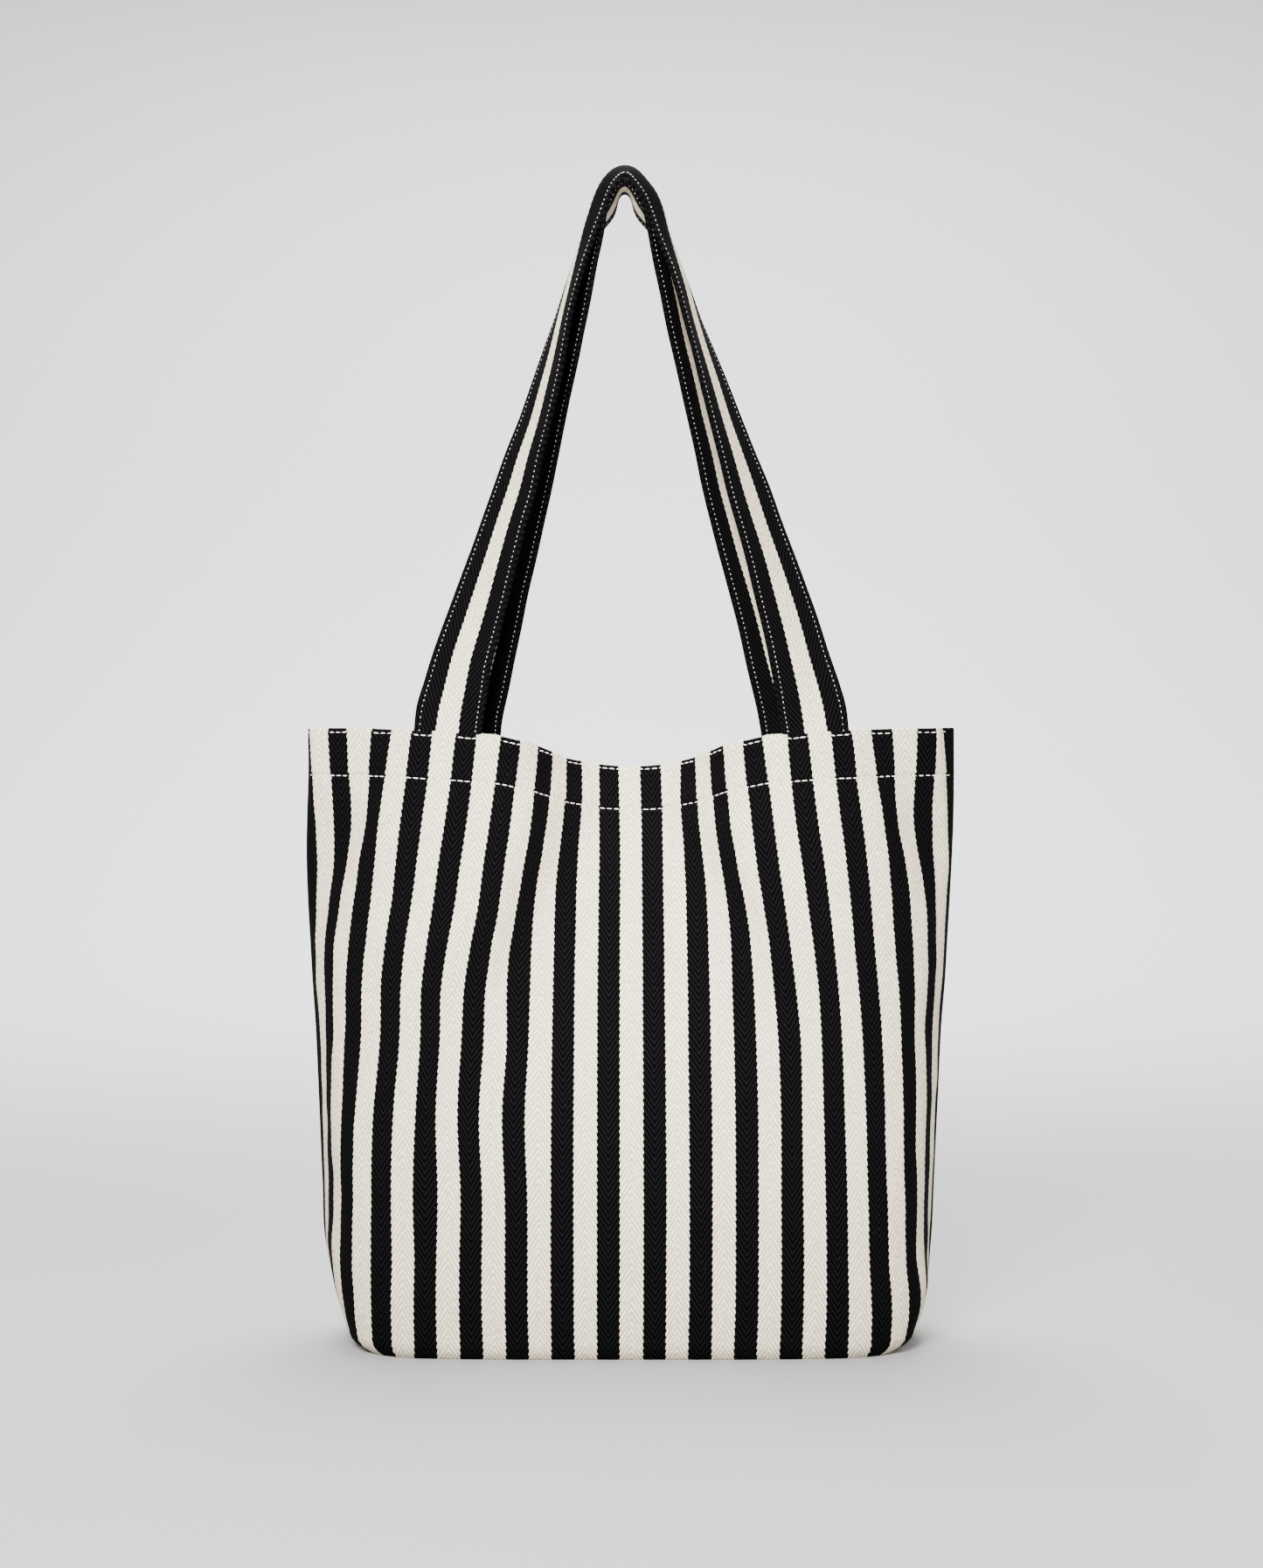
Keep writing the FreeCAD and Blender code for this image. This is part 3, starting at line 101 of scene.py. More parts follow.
FZ = np.array([
    [0, 0, 0, 0, 0, 0, 0, 0, 0, 0, 0, 0, 0, 0, 0, 0, 0, 0, 0, 0, 0, 0, 0, 0, 0, 0, 0, 0, 0, 0, 0, 0, 0, 0, 0],
    [5, 5, 5, 5, 5, 5, 5, 4.9, 4.9, 4.9, 4.9, 4.9, 4.8, 4.8, 4.7, 4.7, 4.7, 4.7, 4.7, 4.7, 4.7, 4.8, 4.8, 4.9, 4.9, 4.9, 4.9, 4.9, 5, 5, 5, 5, 5, 5, 5],
    [15, 14.9, 14.9, 14.9, 14.9, 14.9, 14.9, 14.8, 14.8, 14.8, 14.7, 14.6, 14.5, 14.4, 14.2, 14.2, 14.1, 14, 14.1, 14.2, 14.2, 14.4, 14.5, 14.6, 14.7, 14.8, 14.8, 14.8, 14.9, 14.9, 14.9, 14.9, 14.9, 14.9, 15],
    [28.9, 28.9, 28.9, 28.9, 28.8, 28.8, 28.8, 28.7, 28.6, 28.5, 28.5, 28.3, 28.1, 27.8, 27.5, 27.4, 27.2, 27.1, 27.2, 27.4, 27.5, 27.8, 28.1, 28.3, 28.5, 28.5, 28.6, 28.7, 28.8, 28.8, 28.8, 28.9, 28.9, 28.9, 28.9],
    [52.8, 52.8, 52.8, 52.7, 52.7, 52.6, 52.5, 52.4, 52.3, 52.2, 52, 51.7, 51.3, 50.8, 50.3, 50, 49.7, 49.5, 49.7, 50, 50.3, 50.8, 51.3, 51.7, 52, 52.2, 52.3, 52.4, 52.5, 52.6, 52.7, 52.7, 52.8, 52.8, 52.8],
    [89.7, 89.7, 89.6, 89.6, 89.5, 89.4, 89.2, 89, 88.8, 88.6, 88.3, 87.7, 87.1, 86.2, 85.4, 84.9, 84.4, 84.1, 84.4, 84.9, 85.4, 86.2, 87.1, 87.7, 88.3, 88.6, 88.8, 89, 89.2, 89.4, 89.5, 89.6, 89.6, 89.7, 89.7],
    [136.6, 136.5, 136.4, 136.3, 136.2, 136, 135.8, 135.5, 135.2, 134.9, 134.5, 133.5, 132.5, 131.3, 130.1, 129.3, 128.5, 128.1, 128.5, 129.3, 130.1, 131.3, 132.5, 133.5, 134.5, 134.9, 135.2, 135.5, 135.8, 136, 136.2, 136.3, 136.4, 136.5, 136.6],
    [181.5, 181.4, 181.2, 181.1, 181, 180.7, 180.5, 180.1, 179.7, 179.2, 178.7, 177.4, 176.1, 174.4, 172.8, 171.7, 170.7, 170.1, 170.7, 171.7, 172.8, 174.4, 176.1, 177.4, 178.7, 179.2, 179.7, 180.1, 180.5, 180.7, 181, 181.1, 181.2, 181.4, 181.5],
    [204.4, 204.3, 204.1, 204, 203.8, 203.6, 203.3, 202.8, 202.4, 201.8, 201.2, 199.8, 198.3, 196.5, 194.6, 193.4, 192.2, 191.6, 192.2, 193.4, 194.6, 196.5, 198.3, 199.8, 201.2, 201.8, 202.4, 202.8, 203.3, 203.6, 203.8, 204, 204.1, 204.3, 204.4],
    [229.3, 229.2, 229, 228.9, 228.7, 228.4, 228, 227.6, 227.1, 226.4, 225.8, 224.1, 222.5, 220.4, 218.3, 217, 215.7, 215, 215.7, 217, 218.3, 220.4, 222.5, 224.1, 225.8, 226.4, 227.1, 227.6, 228, 228.4, 228.7, 228.9, 229, 229.2, 229.3],
    [253.3, 253.1, 252.9, 252.7, 252.6, 252.2, 251.8, 251.3, 250.7, 250, 249.3, 247.5, 245.7, 243.4, 241.1, 239.6, 238.2, 237.5, 238.2, 239.6, 241.1, 243.4, 245.7, 247.5, 249.3, 250, 250.7, 251.3, 251.8, 252.2, 252.6, 252.7, 252.9, 253.1, 253.3],
    [277.2, 277, 276.8, 276.6, 276.4, 276, 275.6, 275, 274.4, 273.7, 272.9, 270.9, 268.9, 266.4, 263.9, 262.3, 260.7, 259.9, 260.7, 262.3, 263.9, 266.4, 268.9, 270.9, 272.9, 273.7, 274.4, 275, 275.6, 276, 276.4, 276.6, 276.8, 277, 277.2],
    [301.1, 300.9, 300.7, 300.5, 300.3, 299.9, 299.4, 298.8, 298.1, 297.3, 296.5, 294.3, 292.1, 289.4, 286.7, 284.9, 283.2, 282.3, 283.2, 284.9, 286.7, 289.4, 292.1, 294.3, 296.5, 297.3, 298.1, 298.8, 299.4, 299.9, 300.3, 300.5, 300.7, 300.9, 301.1],
    [325.1, 324.8, 324.6, 324.4, 324.2, 323.7, 323.2, 322.5, 321.8, 320.9, 320, 317.7, 315.3, 312.4, 309.5, 307.6, 305.7, 304.8, 305.7, 307.6, 309.5, 312.4, 315.3, 317.7, 320, 320.9, 321.8, 322.5, 323.2, 323.7, 324.2, 324.4, 324.6, 324.8, 325.1],
    [339, 338.8, 338.6, 338.3, 338.1, 337.6, 337.1, 336.4, 335.6, 334.7, 333.8, 331.3, 328.9, 325.8, 322.8, 320.8, 318.8, 317.8, 318.8, 320.8, 322.8, 325.8, 328.9, 331.3, 333.8, 334.7, 335.6, 336.4, 337.1, 337.6, 338.1, 338.3, 338.6, 338.8, 339],
    [352, 351.8, 351.5, 351.3, 351, 350.5, 350, 349.2, 348.5, 347.5, 346.5, 344, 341.5, 338.3, 335.1, 333, 331, 330, 331, 333, 335.1, 338.3, 341.5, 344, 346.5, 347.5, 348.5, 349.2, 350, 350.5, 351, 351.3, 351.5, 351.8, 352]])
BX = np.array([
    [-152, -152, -151.8, -151, -149.1, -145.4, -139, -130.7, -119.5, -107.2, -94.6, -82, -69.4, -56.7, -44.1, -31.5, -18.9, 0, 18.9, 31.5, 44.1, 56.7, 69.4, 82, 94.6, 107.2, 119.5, 130.7, 139, 145.4, 149.1, 151, 151.8, 152, 152],
    [-158.6, -158.6, -158.3, -157.5, -155.6, -150.8, -143, -132.3, -119.5, -107.2, -94.6, -82, -69.4, -56.7, -44.1, -31.5, -18.9, 0, 18.9, 31.5, 44.1, 56.7, 69.4, 82, 94.6, 107.2, 119.5, 132.3, 143, 150.8, 155.6, 157.5, 158.3, 158.6, 158.6],
    [-164.5, -164.2, -163.5, -162.3, -159.6, -153.8, -144.5, -132.8, -119.5, -107.2, -94.6, -82, -69.4, -56.7, -44.1, -31.5, -18.9, 0, 18.9, 31.5, 44.1, 56.7, 69.4, 82, 94.6, 107.2, 119.5, 132.8, 144.5, 153.8, 159.6, 162.3, 163.5, 164.2, 164.5],
    [-170, -169.2, -168, -166, -162.1, -154.8, -144.8, -133.1, -119.5, -107.2, -94.6, -82, -69.4, -56.7, -44.1, -31.5, -18.9, 0, 18.9, 31.5, 44.1, 56.7, 69.4, 82, 94.6, 107.2, 119.5, 133.1, 144.8, 154.8, 162.1, 166, 168, 169.2, 170],
    [-176.8, -173.8, -170, -164.6, -158, -149.8, -140.3, -129.7, -118.2, -106.4, -94.3, -82, -69.6, -57, -44.4, -31.7, -19, 0, 19, 31.7, 44.4, 57, 69.5, 82, 94.2, 106.2, 117.9, 129.2, 139.6, 148.8, 156.6, 162.8, 167.7, 171, 173.3],
    [-179.7, -177.3, -173.6, -167.8, -160.2, -151.2, -141.1, -130.1, -118.5, -106.6, -94.4, -82.1, -69.6, -57, -44.4, -31.7, -19, 0, 19, 31.7, 44.4, 57, 69.6, 82, 94.3, 106.4, 118.1, 129.5, 140.3, 150.1, 158.8, 165.9, 171.2, 174.3, 175.9],
    [-182.6, -182.3, -178.2, -171.1, -162.3, -152.4, -141.7, -130.4, -118.7, -106.7, -94.5, -82.1, -69.6, -57, -44.4, -31.7, -19, 0, 19, 31.7, 44.4, 57, 69.6, 82, 94.3, 106.5, 118.4, 129.9, 141, 151.4, 160.9, 169.2, 175.8, 179.3, 179],
    [-185.3, -184.2, -179.1, -171.5, -162.1, -151.8, -140.8, -129.4, -117.7, -105.8, -93.7, -81.6, -69.3, -56.9, -44.3, -31.7, -19, 0, 19, 31.7, 44.3, 56.9, 69.2, 81.5, 93.6, 105.6, 117.4, 129, 140.1, 150.8, 160.8, 169.7, 176.9, 181.3, 181.8],
    [-187.2, -185.1, -179.2, -171, -161.4, -151, -139.9, -128.4, -116.7, -104.8, -92.8, -80.8, -68.8, -56.6, -44.2, -31.7, -19, 0, 19, 31.7, 44.2, 56.6, 68.8, 80.7, 92.7, 104.6, 116.4, 128, 139.2, 150.1, 160.2, 169.4, 177.1, 182.4, 184],
    [-188.9, -185.2, -178.4, -169.9, -160, -149.3, -138.1, -126.6, -114.7, -102.7, -90.9, -79.3, -67.7, -56.1, -44, -31.6, -19, 0, 19, 31.6, 44, 56.1, 67.7, 79.2, 90.8, 102.6, 114.4, 126.1, 137.5, 148.4, 158.8, 168.3, 176.4, 182.6, 185.7],
    [-190.4, -184.9, -177.4, -168.3, -158, -147, -135.7, -124.1, -112.2, -100.1, -88.3, -77, -66.2, -55.2, -43.7, -31.5, -19, 0, 19, 31.5, 43.7, 55.2, 66.2, 76.9, 88.2, 100, 111.9, 123.7, 135.1, 146.2, 156.9, 166.8, 175.4, 182.3, 187.3],
    [-191, -184.6, -176.2, -166.3, -155.5, -144.2, -132.6, -120.9, -108.8, -96.6, -84.7, -73.8, -64, -53.9, -43.2, -31.4, -19, 0, 19, 31.4, 43.2, 53.9, 63.9, 73.8, 84.6, 96.5, 108.6, 120.6, 132.2, 143.5, 154.6, 165.1, 174.6, 182.5, 188.4],
    [-190.4, -183, -174, -163.3, -151.9, -140.1, -128.3, -116.5, -104.3, -91.9, -79.8, -69.3, -60.4, -52, -42.4, -31.2, -19, 0, 19, 31.2, 42.4, 52, 60.4, 69.2, 79.7, 91.8, 104.2, 116.3, 128.1, 139.7, 151.4, 162.6, 173.1, 181.9, 189],
    [-189.5, -181.4, -171.5, -160.1, -148.1, -136, -124.1, -112.3, -99.9, -87.4, -75.3, -64.9, -56.6, -49.6, -41.3, -30.8, -19, 0, 19, 30.8, 41.3, 49.6, 56.6, 64.9, 75.3, 87.4, 99.9, 112.2, 124.1, 135.9, 148, 159.9, 171.2, 181.1, 189.1],
    [-189.4, -180.8, -170.3, -158.6, -146.3, -134, -122, -110.1, -97.6, -85.1, -72.9, -62.5, -54.3, -48.1, -40.7, -30.7, -18.9, 0, 18.9, 30.7, 40.7, 48.1, 54.3, 62.5, 72.9, 85, 97.6, 110, 122, 133.9, 146.2, 158.4, 170.1, 180.5, 189],
    [-189.5, -180.6, -169.7, -157.8, -145.3, -132.9, -120.9, -108.9, -96.4, -83.8, -71.7, -61.3, -53.6, -47.5, -40.4, -30.6, -18.9, 0, 18.9, 30.6, 40.4, 47.5, 53.6, 61.3, 71.7, 83.8, 96.4, 108.8, 120.8, 132.8, 145.2, 157.6, 169.4, 180.2, 188.9]])
BY = np.array([
    [0, 7.5, 15, 22.5, 30, 37, 43, 47, 49.8, 51.2, 52, 52.5, 52.8, 53, 53, 53, 53, 53, 53, 53, 53, 53, 52.8, 52.5, 52, 51.2, 49.8, 47, 43, 37, 30, 22.5, 15, 7.5, 0],
    [0, 8.3, 16.7, 25, 33.3, 41.1, 47.5, 51.9, 54.4, 55.6, 56.1, 56.3, 56.5, 56.6, 56.5, 56.5, 56.5, 56.5, 56.5, 56.5, 56.5, 56.6, 56.5, 56.3, 56.1, 55.6, 54.4, 51.9, 47.5, 41.1, 33.3, 25, 16.7, 8.3, 0],
    [0.5, 9.7, 18.6, 27.4, 35.6, 43.4, 49.6, 53.7, 56, 57, 57.4, 57.6, 57.7, 57.7, 57.7, 57.7, 57.7, 57.7, 57.7, 57.7, 57.7, 57.7, 57.7, 57.6, 57.4, 57, 56, 53.7, 49.6, 43.4, 35.6, 27.4, 18.6, 9.7, 0.5],
    [1.3, 11.3, 20.8, 29.8, 37.9, 45.3, 51.1, 54.9, 56.8, 57.6, 58, 58.2, 58.2, 58.2, 58.2, 58.2, 58.1, 58.1, 58.1, 58.2, 58.2, 58.2, 58.2, 58.2, 58, 57.6, 56.8, 54.9, 51.1, 45.3, 37.9, 29.8, 20.8, 11.3, 1.3],
    [3, 13, 23, 32, 40.5, 47.5, 53, 56.5, 58.2, 58.8, 59.1, 59.4, 59.7, 59.8, 59.8, 59.8, 59.7, 59.7, 59.7, 59.8, 59.8, 59.8, 59.7, 59.4, 59.1, 58.8, 58.2, 56.5, 53, 47.5, 40.5, 32, 23, 13, 3],
    [8, 18.9, 29.4, 38.4, 45.9, 51.9, 56.4, 59.4, 60.9, 61.9, 62.2, 62.6, 62.9, 63.2, 63.3, 63.4, 63.3, 63.3, 63.3, 63.4, 63.3, 63.2, 62.9, 62.6, 62.2, 61.9, 60.9, 59.4, 56.4, 51.9, 45.9, 38.4, 29.4, 18.9, 8],
    [14, 26.4, 36.9, 44.9, 50.9, 55.9, 59.4, 61.9, 63.4, 64.4, 65.3, 66.2, 67, 67.8, 68.1, 68.5, 68.8, 68.7, 68.8, 68.5, 68.1, 67.8, 67, 66.2, 65.3, 64.4, 63.4, 61.9, 59.4, 55.9, 50.9, 44.9, 36.9, 26.4, 14],
    [18, 29.9, 39.5, 46.5, 51, 54.1, 56.1, 57.7, 59.2, 60.8, 62.8, 65.2, 67.5, 69.7, 71.3, 72.4, 73.2, 73.5, 73.2, 72.4, 71.3, 69.7, 67.5, 65.2, 62.8, 60.8, 59.2, 57.7, 56.1, 54.1, 51, 46.5, 39.5, 29.9, 18],
    [19.9, 31.5, 40, 46, 50.1, 52.6, 53.7, 54.3, 55.5, 57.1, 59.7, 62.8, 66.5, 69.7, 72.2, 74.1, 75.2, 75.7, 75.2, 74.1, 72.2, 69.7, 66.5, 62.8, 59.7, 57.1, 55.5, 54.3, 53.7, 52.6, 50.1, 46, 40, 31.5, 19.9],
    [21.9, 32.5, 40, 45.5, 48.6, 50.2, 50.3, 49.9, 50.2, 51.5, 54.6, 59.1, 64.1, 69, 72.7, 75.4, 77, 77.6, 77, 75.4, 72.7, 69, 64.1, 59.1, 54.6, 51.5, 50.2, 49.9, 50.3, 50.2, 48.6, 45.5, 40, 32.5, 21.9],
    [23, 32, 39, 44.1, 46.6, 47.2, 46.4, 45.1, 44.7, 46, 49.3, 54.6, 61.3, 67.5, 72.8, 76.3, 78.4, 79.3, 78.4, 76.3, 72.8, 67.5, 61.3, 54.6, 49.3, 46, 44.7, 45.1, 46.4, 47.2, 46.6, 44.1, 39, 32, 23],
    [22, 31, 37.6, 42.1, 44.2, 44.2, 42.4, 40.1, 39.3, 40.2, 43.6, 49.8, 57.8, 65.6, 72.3, 77.1, 79.8, 80.7, 79.8, 77.1, 72.3, 65.6, 57.8, 49.8, 43.6, 40.2, 39.3, 40.1, 42.4, 44.2, 44.2, 42.1, 37.6, 31, 22],
    [20.1, 29.1, 36.1, 40.1, 42.1, 41.3, 38.4, 35.2, 33.9, 34.3, 37.3, 44.4, 53.5, 63.2, 71.5, 77.4, 81.1, 82.1, 81.1, 77.4, 71.5, 63.2, 53.5, 44.4, 37.3, 34.3, 33.9, 35.2, 38.4, 41.3, 42.1, 40.1, 36.1, 29.1, 20.1],
    [19, 28, 34.6, 38.1, 39.2, 37.8, 34.5, 30.7, 28.9, 29.2, 32.4, 39.7, 49.4, 60.2, 69.8, 77, 81.5, 83, 81.5, 77, 69.8, 60.2, 49.4, 39.7, 32.4, 29.2, 28.9, 30.7, 34.5, 37.8, 39.2, 38.1, 34.6, 28, 19],
    [18.5, 27.5, 33.8, 37.3, 38.1, 36.4, 32.7, 28.8, 26.9, 27.2, 30.5, 37.7, 47.5, 58.8, 69.3, 77, 81.8, 83.5, 81.8, 77, 69.3, 58.8, 47.5, 37.7, 30.5, 27.2, 26.9, 28.8, 32.7, 36.4, 38.1, 37.3, 33.8, 27.5, 18.5],
    [18, 27, 33, 36.5, 37.1, 35.1, 31.2, 27.3, 25.4, 26, 29.5, 36.8, 47, 58.3, 69, 77, 82, 84, 82, 77, 69, 58.3, 47, 36.8, 29.5, 26, 25.4, 27.3, 31.2, 35.1, 37.1, 36.5, 33, 27, 18]])
BZ = np.array([
    [0, 0, 0, 0, 0, 0, 0, 0, 0, 0, 0, 0, 0, 0, 0, 0, 0, 0, 0, 0, 0, 0, 0, 0, 0, 0, 0, 0, 0, 0, 0, 0, 0, 0, 0],
    [5, 5, 5, 5, 5, 5, 5, 4.9, 4.9, 4.9, 4.9, 4.8, 4.8, 4.8, 4.7, 4.7, 4.6, 4.6, 4.6, 4.7, 4.7, 4.8, 4.8, 4.8, 4.9, 4.9, 4.9, 4.9, 5, 5, 5, 5, 5, 5, 5],
    [15, 14.9, 14.9, 14.9, 14.9, 14.9, 14.9, 14.8, 14.8, 14.7, 14.7, 14.5, 14.4, 14.3, 14.1, 14, 13.9, 13.9, 13.9, 14, 14.1, 14.3, 14.4, 14.5, 14.7, 14.7, 14.8, 14.8, 14.9, 14.9, 14.9, 14.9, 14.9, 14.9, 15],
    [28.9, 28.9, 28.9, 28.9, 28.8, 28.8, 28.8, 28.7, 28.6, 28.5, 28.3, 28.1, 27.8, 27.6, 27.3, 27.1, 26.9, 26.9, 26.9, 27.1, 27.3, 27.6, 27.8, 28.1, 28.3, 28.5, 28.6, 28.7, 28.8, 28.8, 28.8, 28.9, 28.9, 28.9, 28.9],
    [52.8, 52.8, 52.8, 52.7, 52.7, 52.6, 52.5, 52.4, 52.3, 52.1, 51.8, 51.4, 50.9, 50.4, 49.9, 49.6, 49.2, 49.1, 49.2, 49.6, 49.9, 50.4, 50.9, 51.4, 51.8, 52.1, 52.3, 52.4, 52.5, 52.6, 52.7, 52.7, 52.8, 52.8, 52.8],
    [89.7, 89.7, 89.6, 89.6, 89.5, 89.4, 89.2, 89, 88.8, 88.4, 88, 87.2, 86.4, 85.5, 84.7, 84.1, 83.6, 83.4, 83.6, 84.1, 84.7, 85.5, 86.4, 87.2, 88, 88.4, 88.8, 89, 89.2, 89.4, 89.5, 89.6, 89.6, 89.7, 89.7],
    [136.6, 136.5, 136.4, 136.3, 136.2, 136, 135.8, 135.5, 135.2, 134.6, 133.9, 132.7, 131.6, 130.2, 128.9, 128.1, 127.3, 126.9, 127.3, 128.1, 128.9, 130.2, 131.6, 132.7, 133.9, 134.6, 135.2, 135.5, 135.8, 136, 136.2, 136.3, 136.4, 136.5, 136.6],
    [181.5, 181.4, 181.2, 181.1, 181, 180.7, 180.5, 180.1, 179.7, 178.8, 177.9, 176.3, 174.8, 173, 171.2, 170.2, 169.1, 168.6, 169.1, 170.2, 171.2, 173, 174.8, 176.3, 177.9, 178.8, 179.7, 180.1, 180.5, 180.7, 181, 181.1, 181.2, 181.4, 181.5],
    [204.4, 204.3, 204.1, 204, 203.8, 203.6, 203.3, 202.8, 202.4, 201.4, 200.4, 198.6, 196.8, 194.9, 192.9, 191.7, 190.5, 189.9, 190.5, 191.7, 192.9, 194.9, 196.8, 198.6, 200.4, 201.4, 202.4, 202.8, 203.3, 203.6, 203.8, 204, 204.1, 204.3, 204.4],
    [229.3, 229.2, 229, 228.9, 228.7, 228.4, 228, 227.6, 227, 225.9, 224.8, 222.8, 220.9, 218.6, 216.4, 215, 213.7, 213.1, 213.7, 215, 216.4, 218.6, 220.9, 222.8, 224.8, 225.9, 227, 227.6, 228, 228.4, 228.7, 228.9, 229, 229.2, 229.3],
    [253.3, 253.1, 252.9, 252.7, 252.6, 252.2, 251.8, 251.3, 250.7, 249.5, 248.3, 246.1, 243.9, 241.4, 239, 237.5, 236, 235.3, 236, 237.5, 239, 241.4, 243.9, 246.1, 248.3, 249.5, 250.7, 251.3, 251.8, 252.2, 252.6, 252.7, 252.9, 253.1, 253.3],
    [277.2, 277, 276.8, 276.6, 276.4, 276, 275.6, 275, 274.4, 273.1, 271.7, 269.3, 266.9, 264.2, 261.6, 259.9, 258.3, 257.5, 258.3, 259.9, 261.6, 264.2, 266.9, 269.3, 271.7, 273.1, 274.4, 275, 275.6, 276, 276.4, 276.6, 276.8, 277, 277.2],
    [301.1, 300.9, 300.7, 300.5, 300.3, 299.9, 299.4, 298.8, 298.1, 296.6, 295.2, 292.6, 290, 287.1, 284.1, 282.4, 280.6, 279.8, 280.6, 282.4, 284.1, 287.1, 290, 292.6, 295.2, 296.6, 298.1, 298.8, 299.4, 299.9, 300.3, 300.5, 300.7, 300.9, 301.1],
    [325.1, 324.8, 324.6, 324.4, 324.2, 323.7, 323.2, 322.5, 321.8, 320.2, 318.6, 315.9, 313, 309.9, 306.7, 304.8, 302.9, 302, 302.9, 304.8, 306.7, 309.9, 313, 315.9, 318.6, 320.2, 321.8, 322.5, 323.2, 323.7, 324.2, 324.4, 324.6, 324.8, 325.1],
    [339, 338.8, 338.6, 338.3, 338.1, 337.6, 337.1, 336.4, 335.6, 334, 332.3, 329.4, 326.5, 323.2, 319.9, 317.9, 315.9, 315, 315.9, 317.9, 319.9, 323.2, 326.5, 329.4, 332.3, 334, 335.6, 336.4, 337.1, 337.6, 338.1, 338.3, 338.6, 338.8, 339],
    [352, 351.8, 351.5, 351.3, 351, 350.5, 350, 349.2, 348.5, 346.7, 345, 342, 339, 335.5, 332.1, 330, 328, 327, 328, 330, 332.1, 335.5, 339, 342, 345, 346.7, 348.5, 349.2, 350, 350.5, 351, 351.3, 351.5, 351.8, 352]])


# ------------------------------------------------------------------ helpers
def smooth(xs, ys, x):
    """Cubic curve through the points (xs, ys), read at x."""
    xs, ys, x = np.asarray(xs, float), np.asarray(ys, float), np.asarray(x, float)
    ex = (1,) * (ys.ndim - 1)
    h = np.diff(xs)
    d = np.diff(ys, axis=0) / h.reshape(-1, *ex)
    m = np.empty_like(ys)
    m[0], m[-1] = d[0], d[-1]
    w = (h[:-1] + h[1:]).reshape(-1, *ex)
    m[1:-1] = (d[:-1] * h[1:].reshape(-1, *ex) + d[1:] * h[:-1].reshape(-1, *ex)) / w
    i = np.clip(np.searchsorted(xs, x, side="right") - 1, 0, len(xs) - 2)
    hh = h[i].reshape(-1, *ex)
    u = ((x - xs[i]) / h[i]).reshape(-1, *ex)
    a, b = ys[i], ys[i + 1]
    return (a * (1 + 2 * u) * (1 - u) ** 2 + m[i] * hh * u * (1 - u) ** 2
            + b * u * u * (3 - 2 * u) + m[i + 1] * hh * u * u * (u - 1))


def step(a, b, x):
    u = np.clip((np.asarray(x, float) - a) / (b - a), 0, 1)
    return u * u * (3 - 2 * u)


def unit(v):
    return v / np.maximum(np.linalg.norm(v, axis=-1, keepdims=True), 1e-9)


def normals(P):
    """Unit normals of a grid of points, along d/dcolumn x d/drow."""
    a = np.gradient(P, axis=1)
    b = np.gradient(P, axis=0)
    return unit(np.cross(a, b))


def waves(s, t, seed, count, low, high, amp):
    """Sum of random sines of wavelength low..high mm, about +-amp."""
    r = np.random.default_rng(seed)
    out = np.zeros(np.broadcast(s, t).shape)
    for _ in range(count):
        wl = r.uniform(low, high)
        an = r.uniform(0, math.pi)
        out = out + np.sin(2 * math.pi * (s * math.cos(an) + t * math.sin(an)) / wl + r.uniform(0, 6.28))
    return out * amp / math.sqrt(count)


def make_mesh(name, verts, faces, uvs=None, material=None):
    me = bpy.data.meshes.new(name)
    me.from_pydata([tuple(v) for v in (np.asarray(verts) * 0.001).tolist()], [], faces)
    if uvs is not None:
        layer = me.uv_layers.new(name="UVMap")
        idx = np.empty(len(me.loops), dtype=np.int32)
        me.loops.foreach_get("vertex_index", idx)
        layer.data.foreach_set("uv", (np.asarray(uvs)[idx] * 0.01).astype(np.float32).ravel())
    me.polygons.foreach_set("use_smooth", [True] * len(me.polygons))
    if material:
        me.materials.append(material)
    me.update()
    ob = bpy.data.objects.new(name, me)
    bpy.context.scene.collection.objects.link(ob)
    return ob


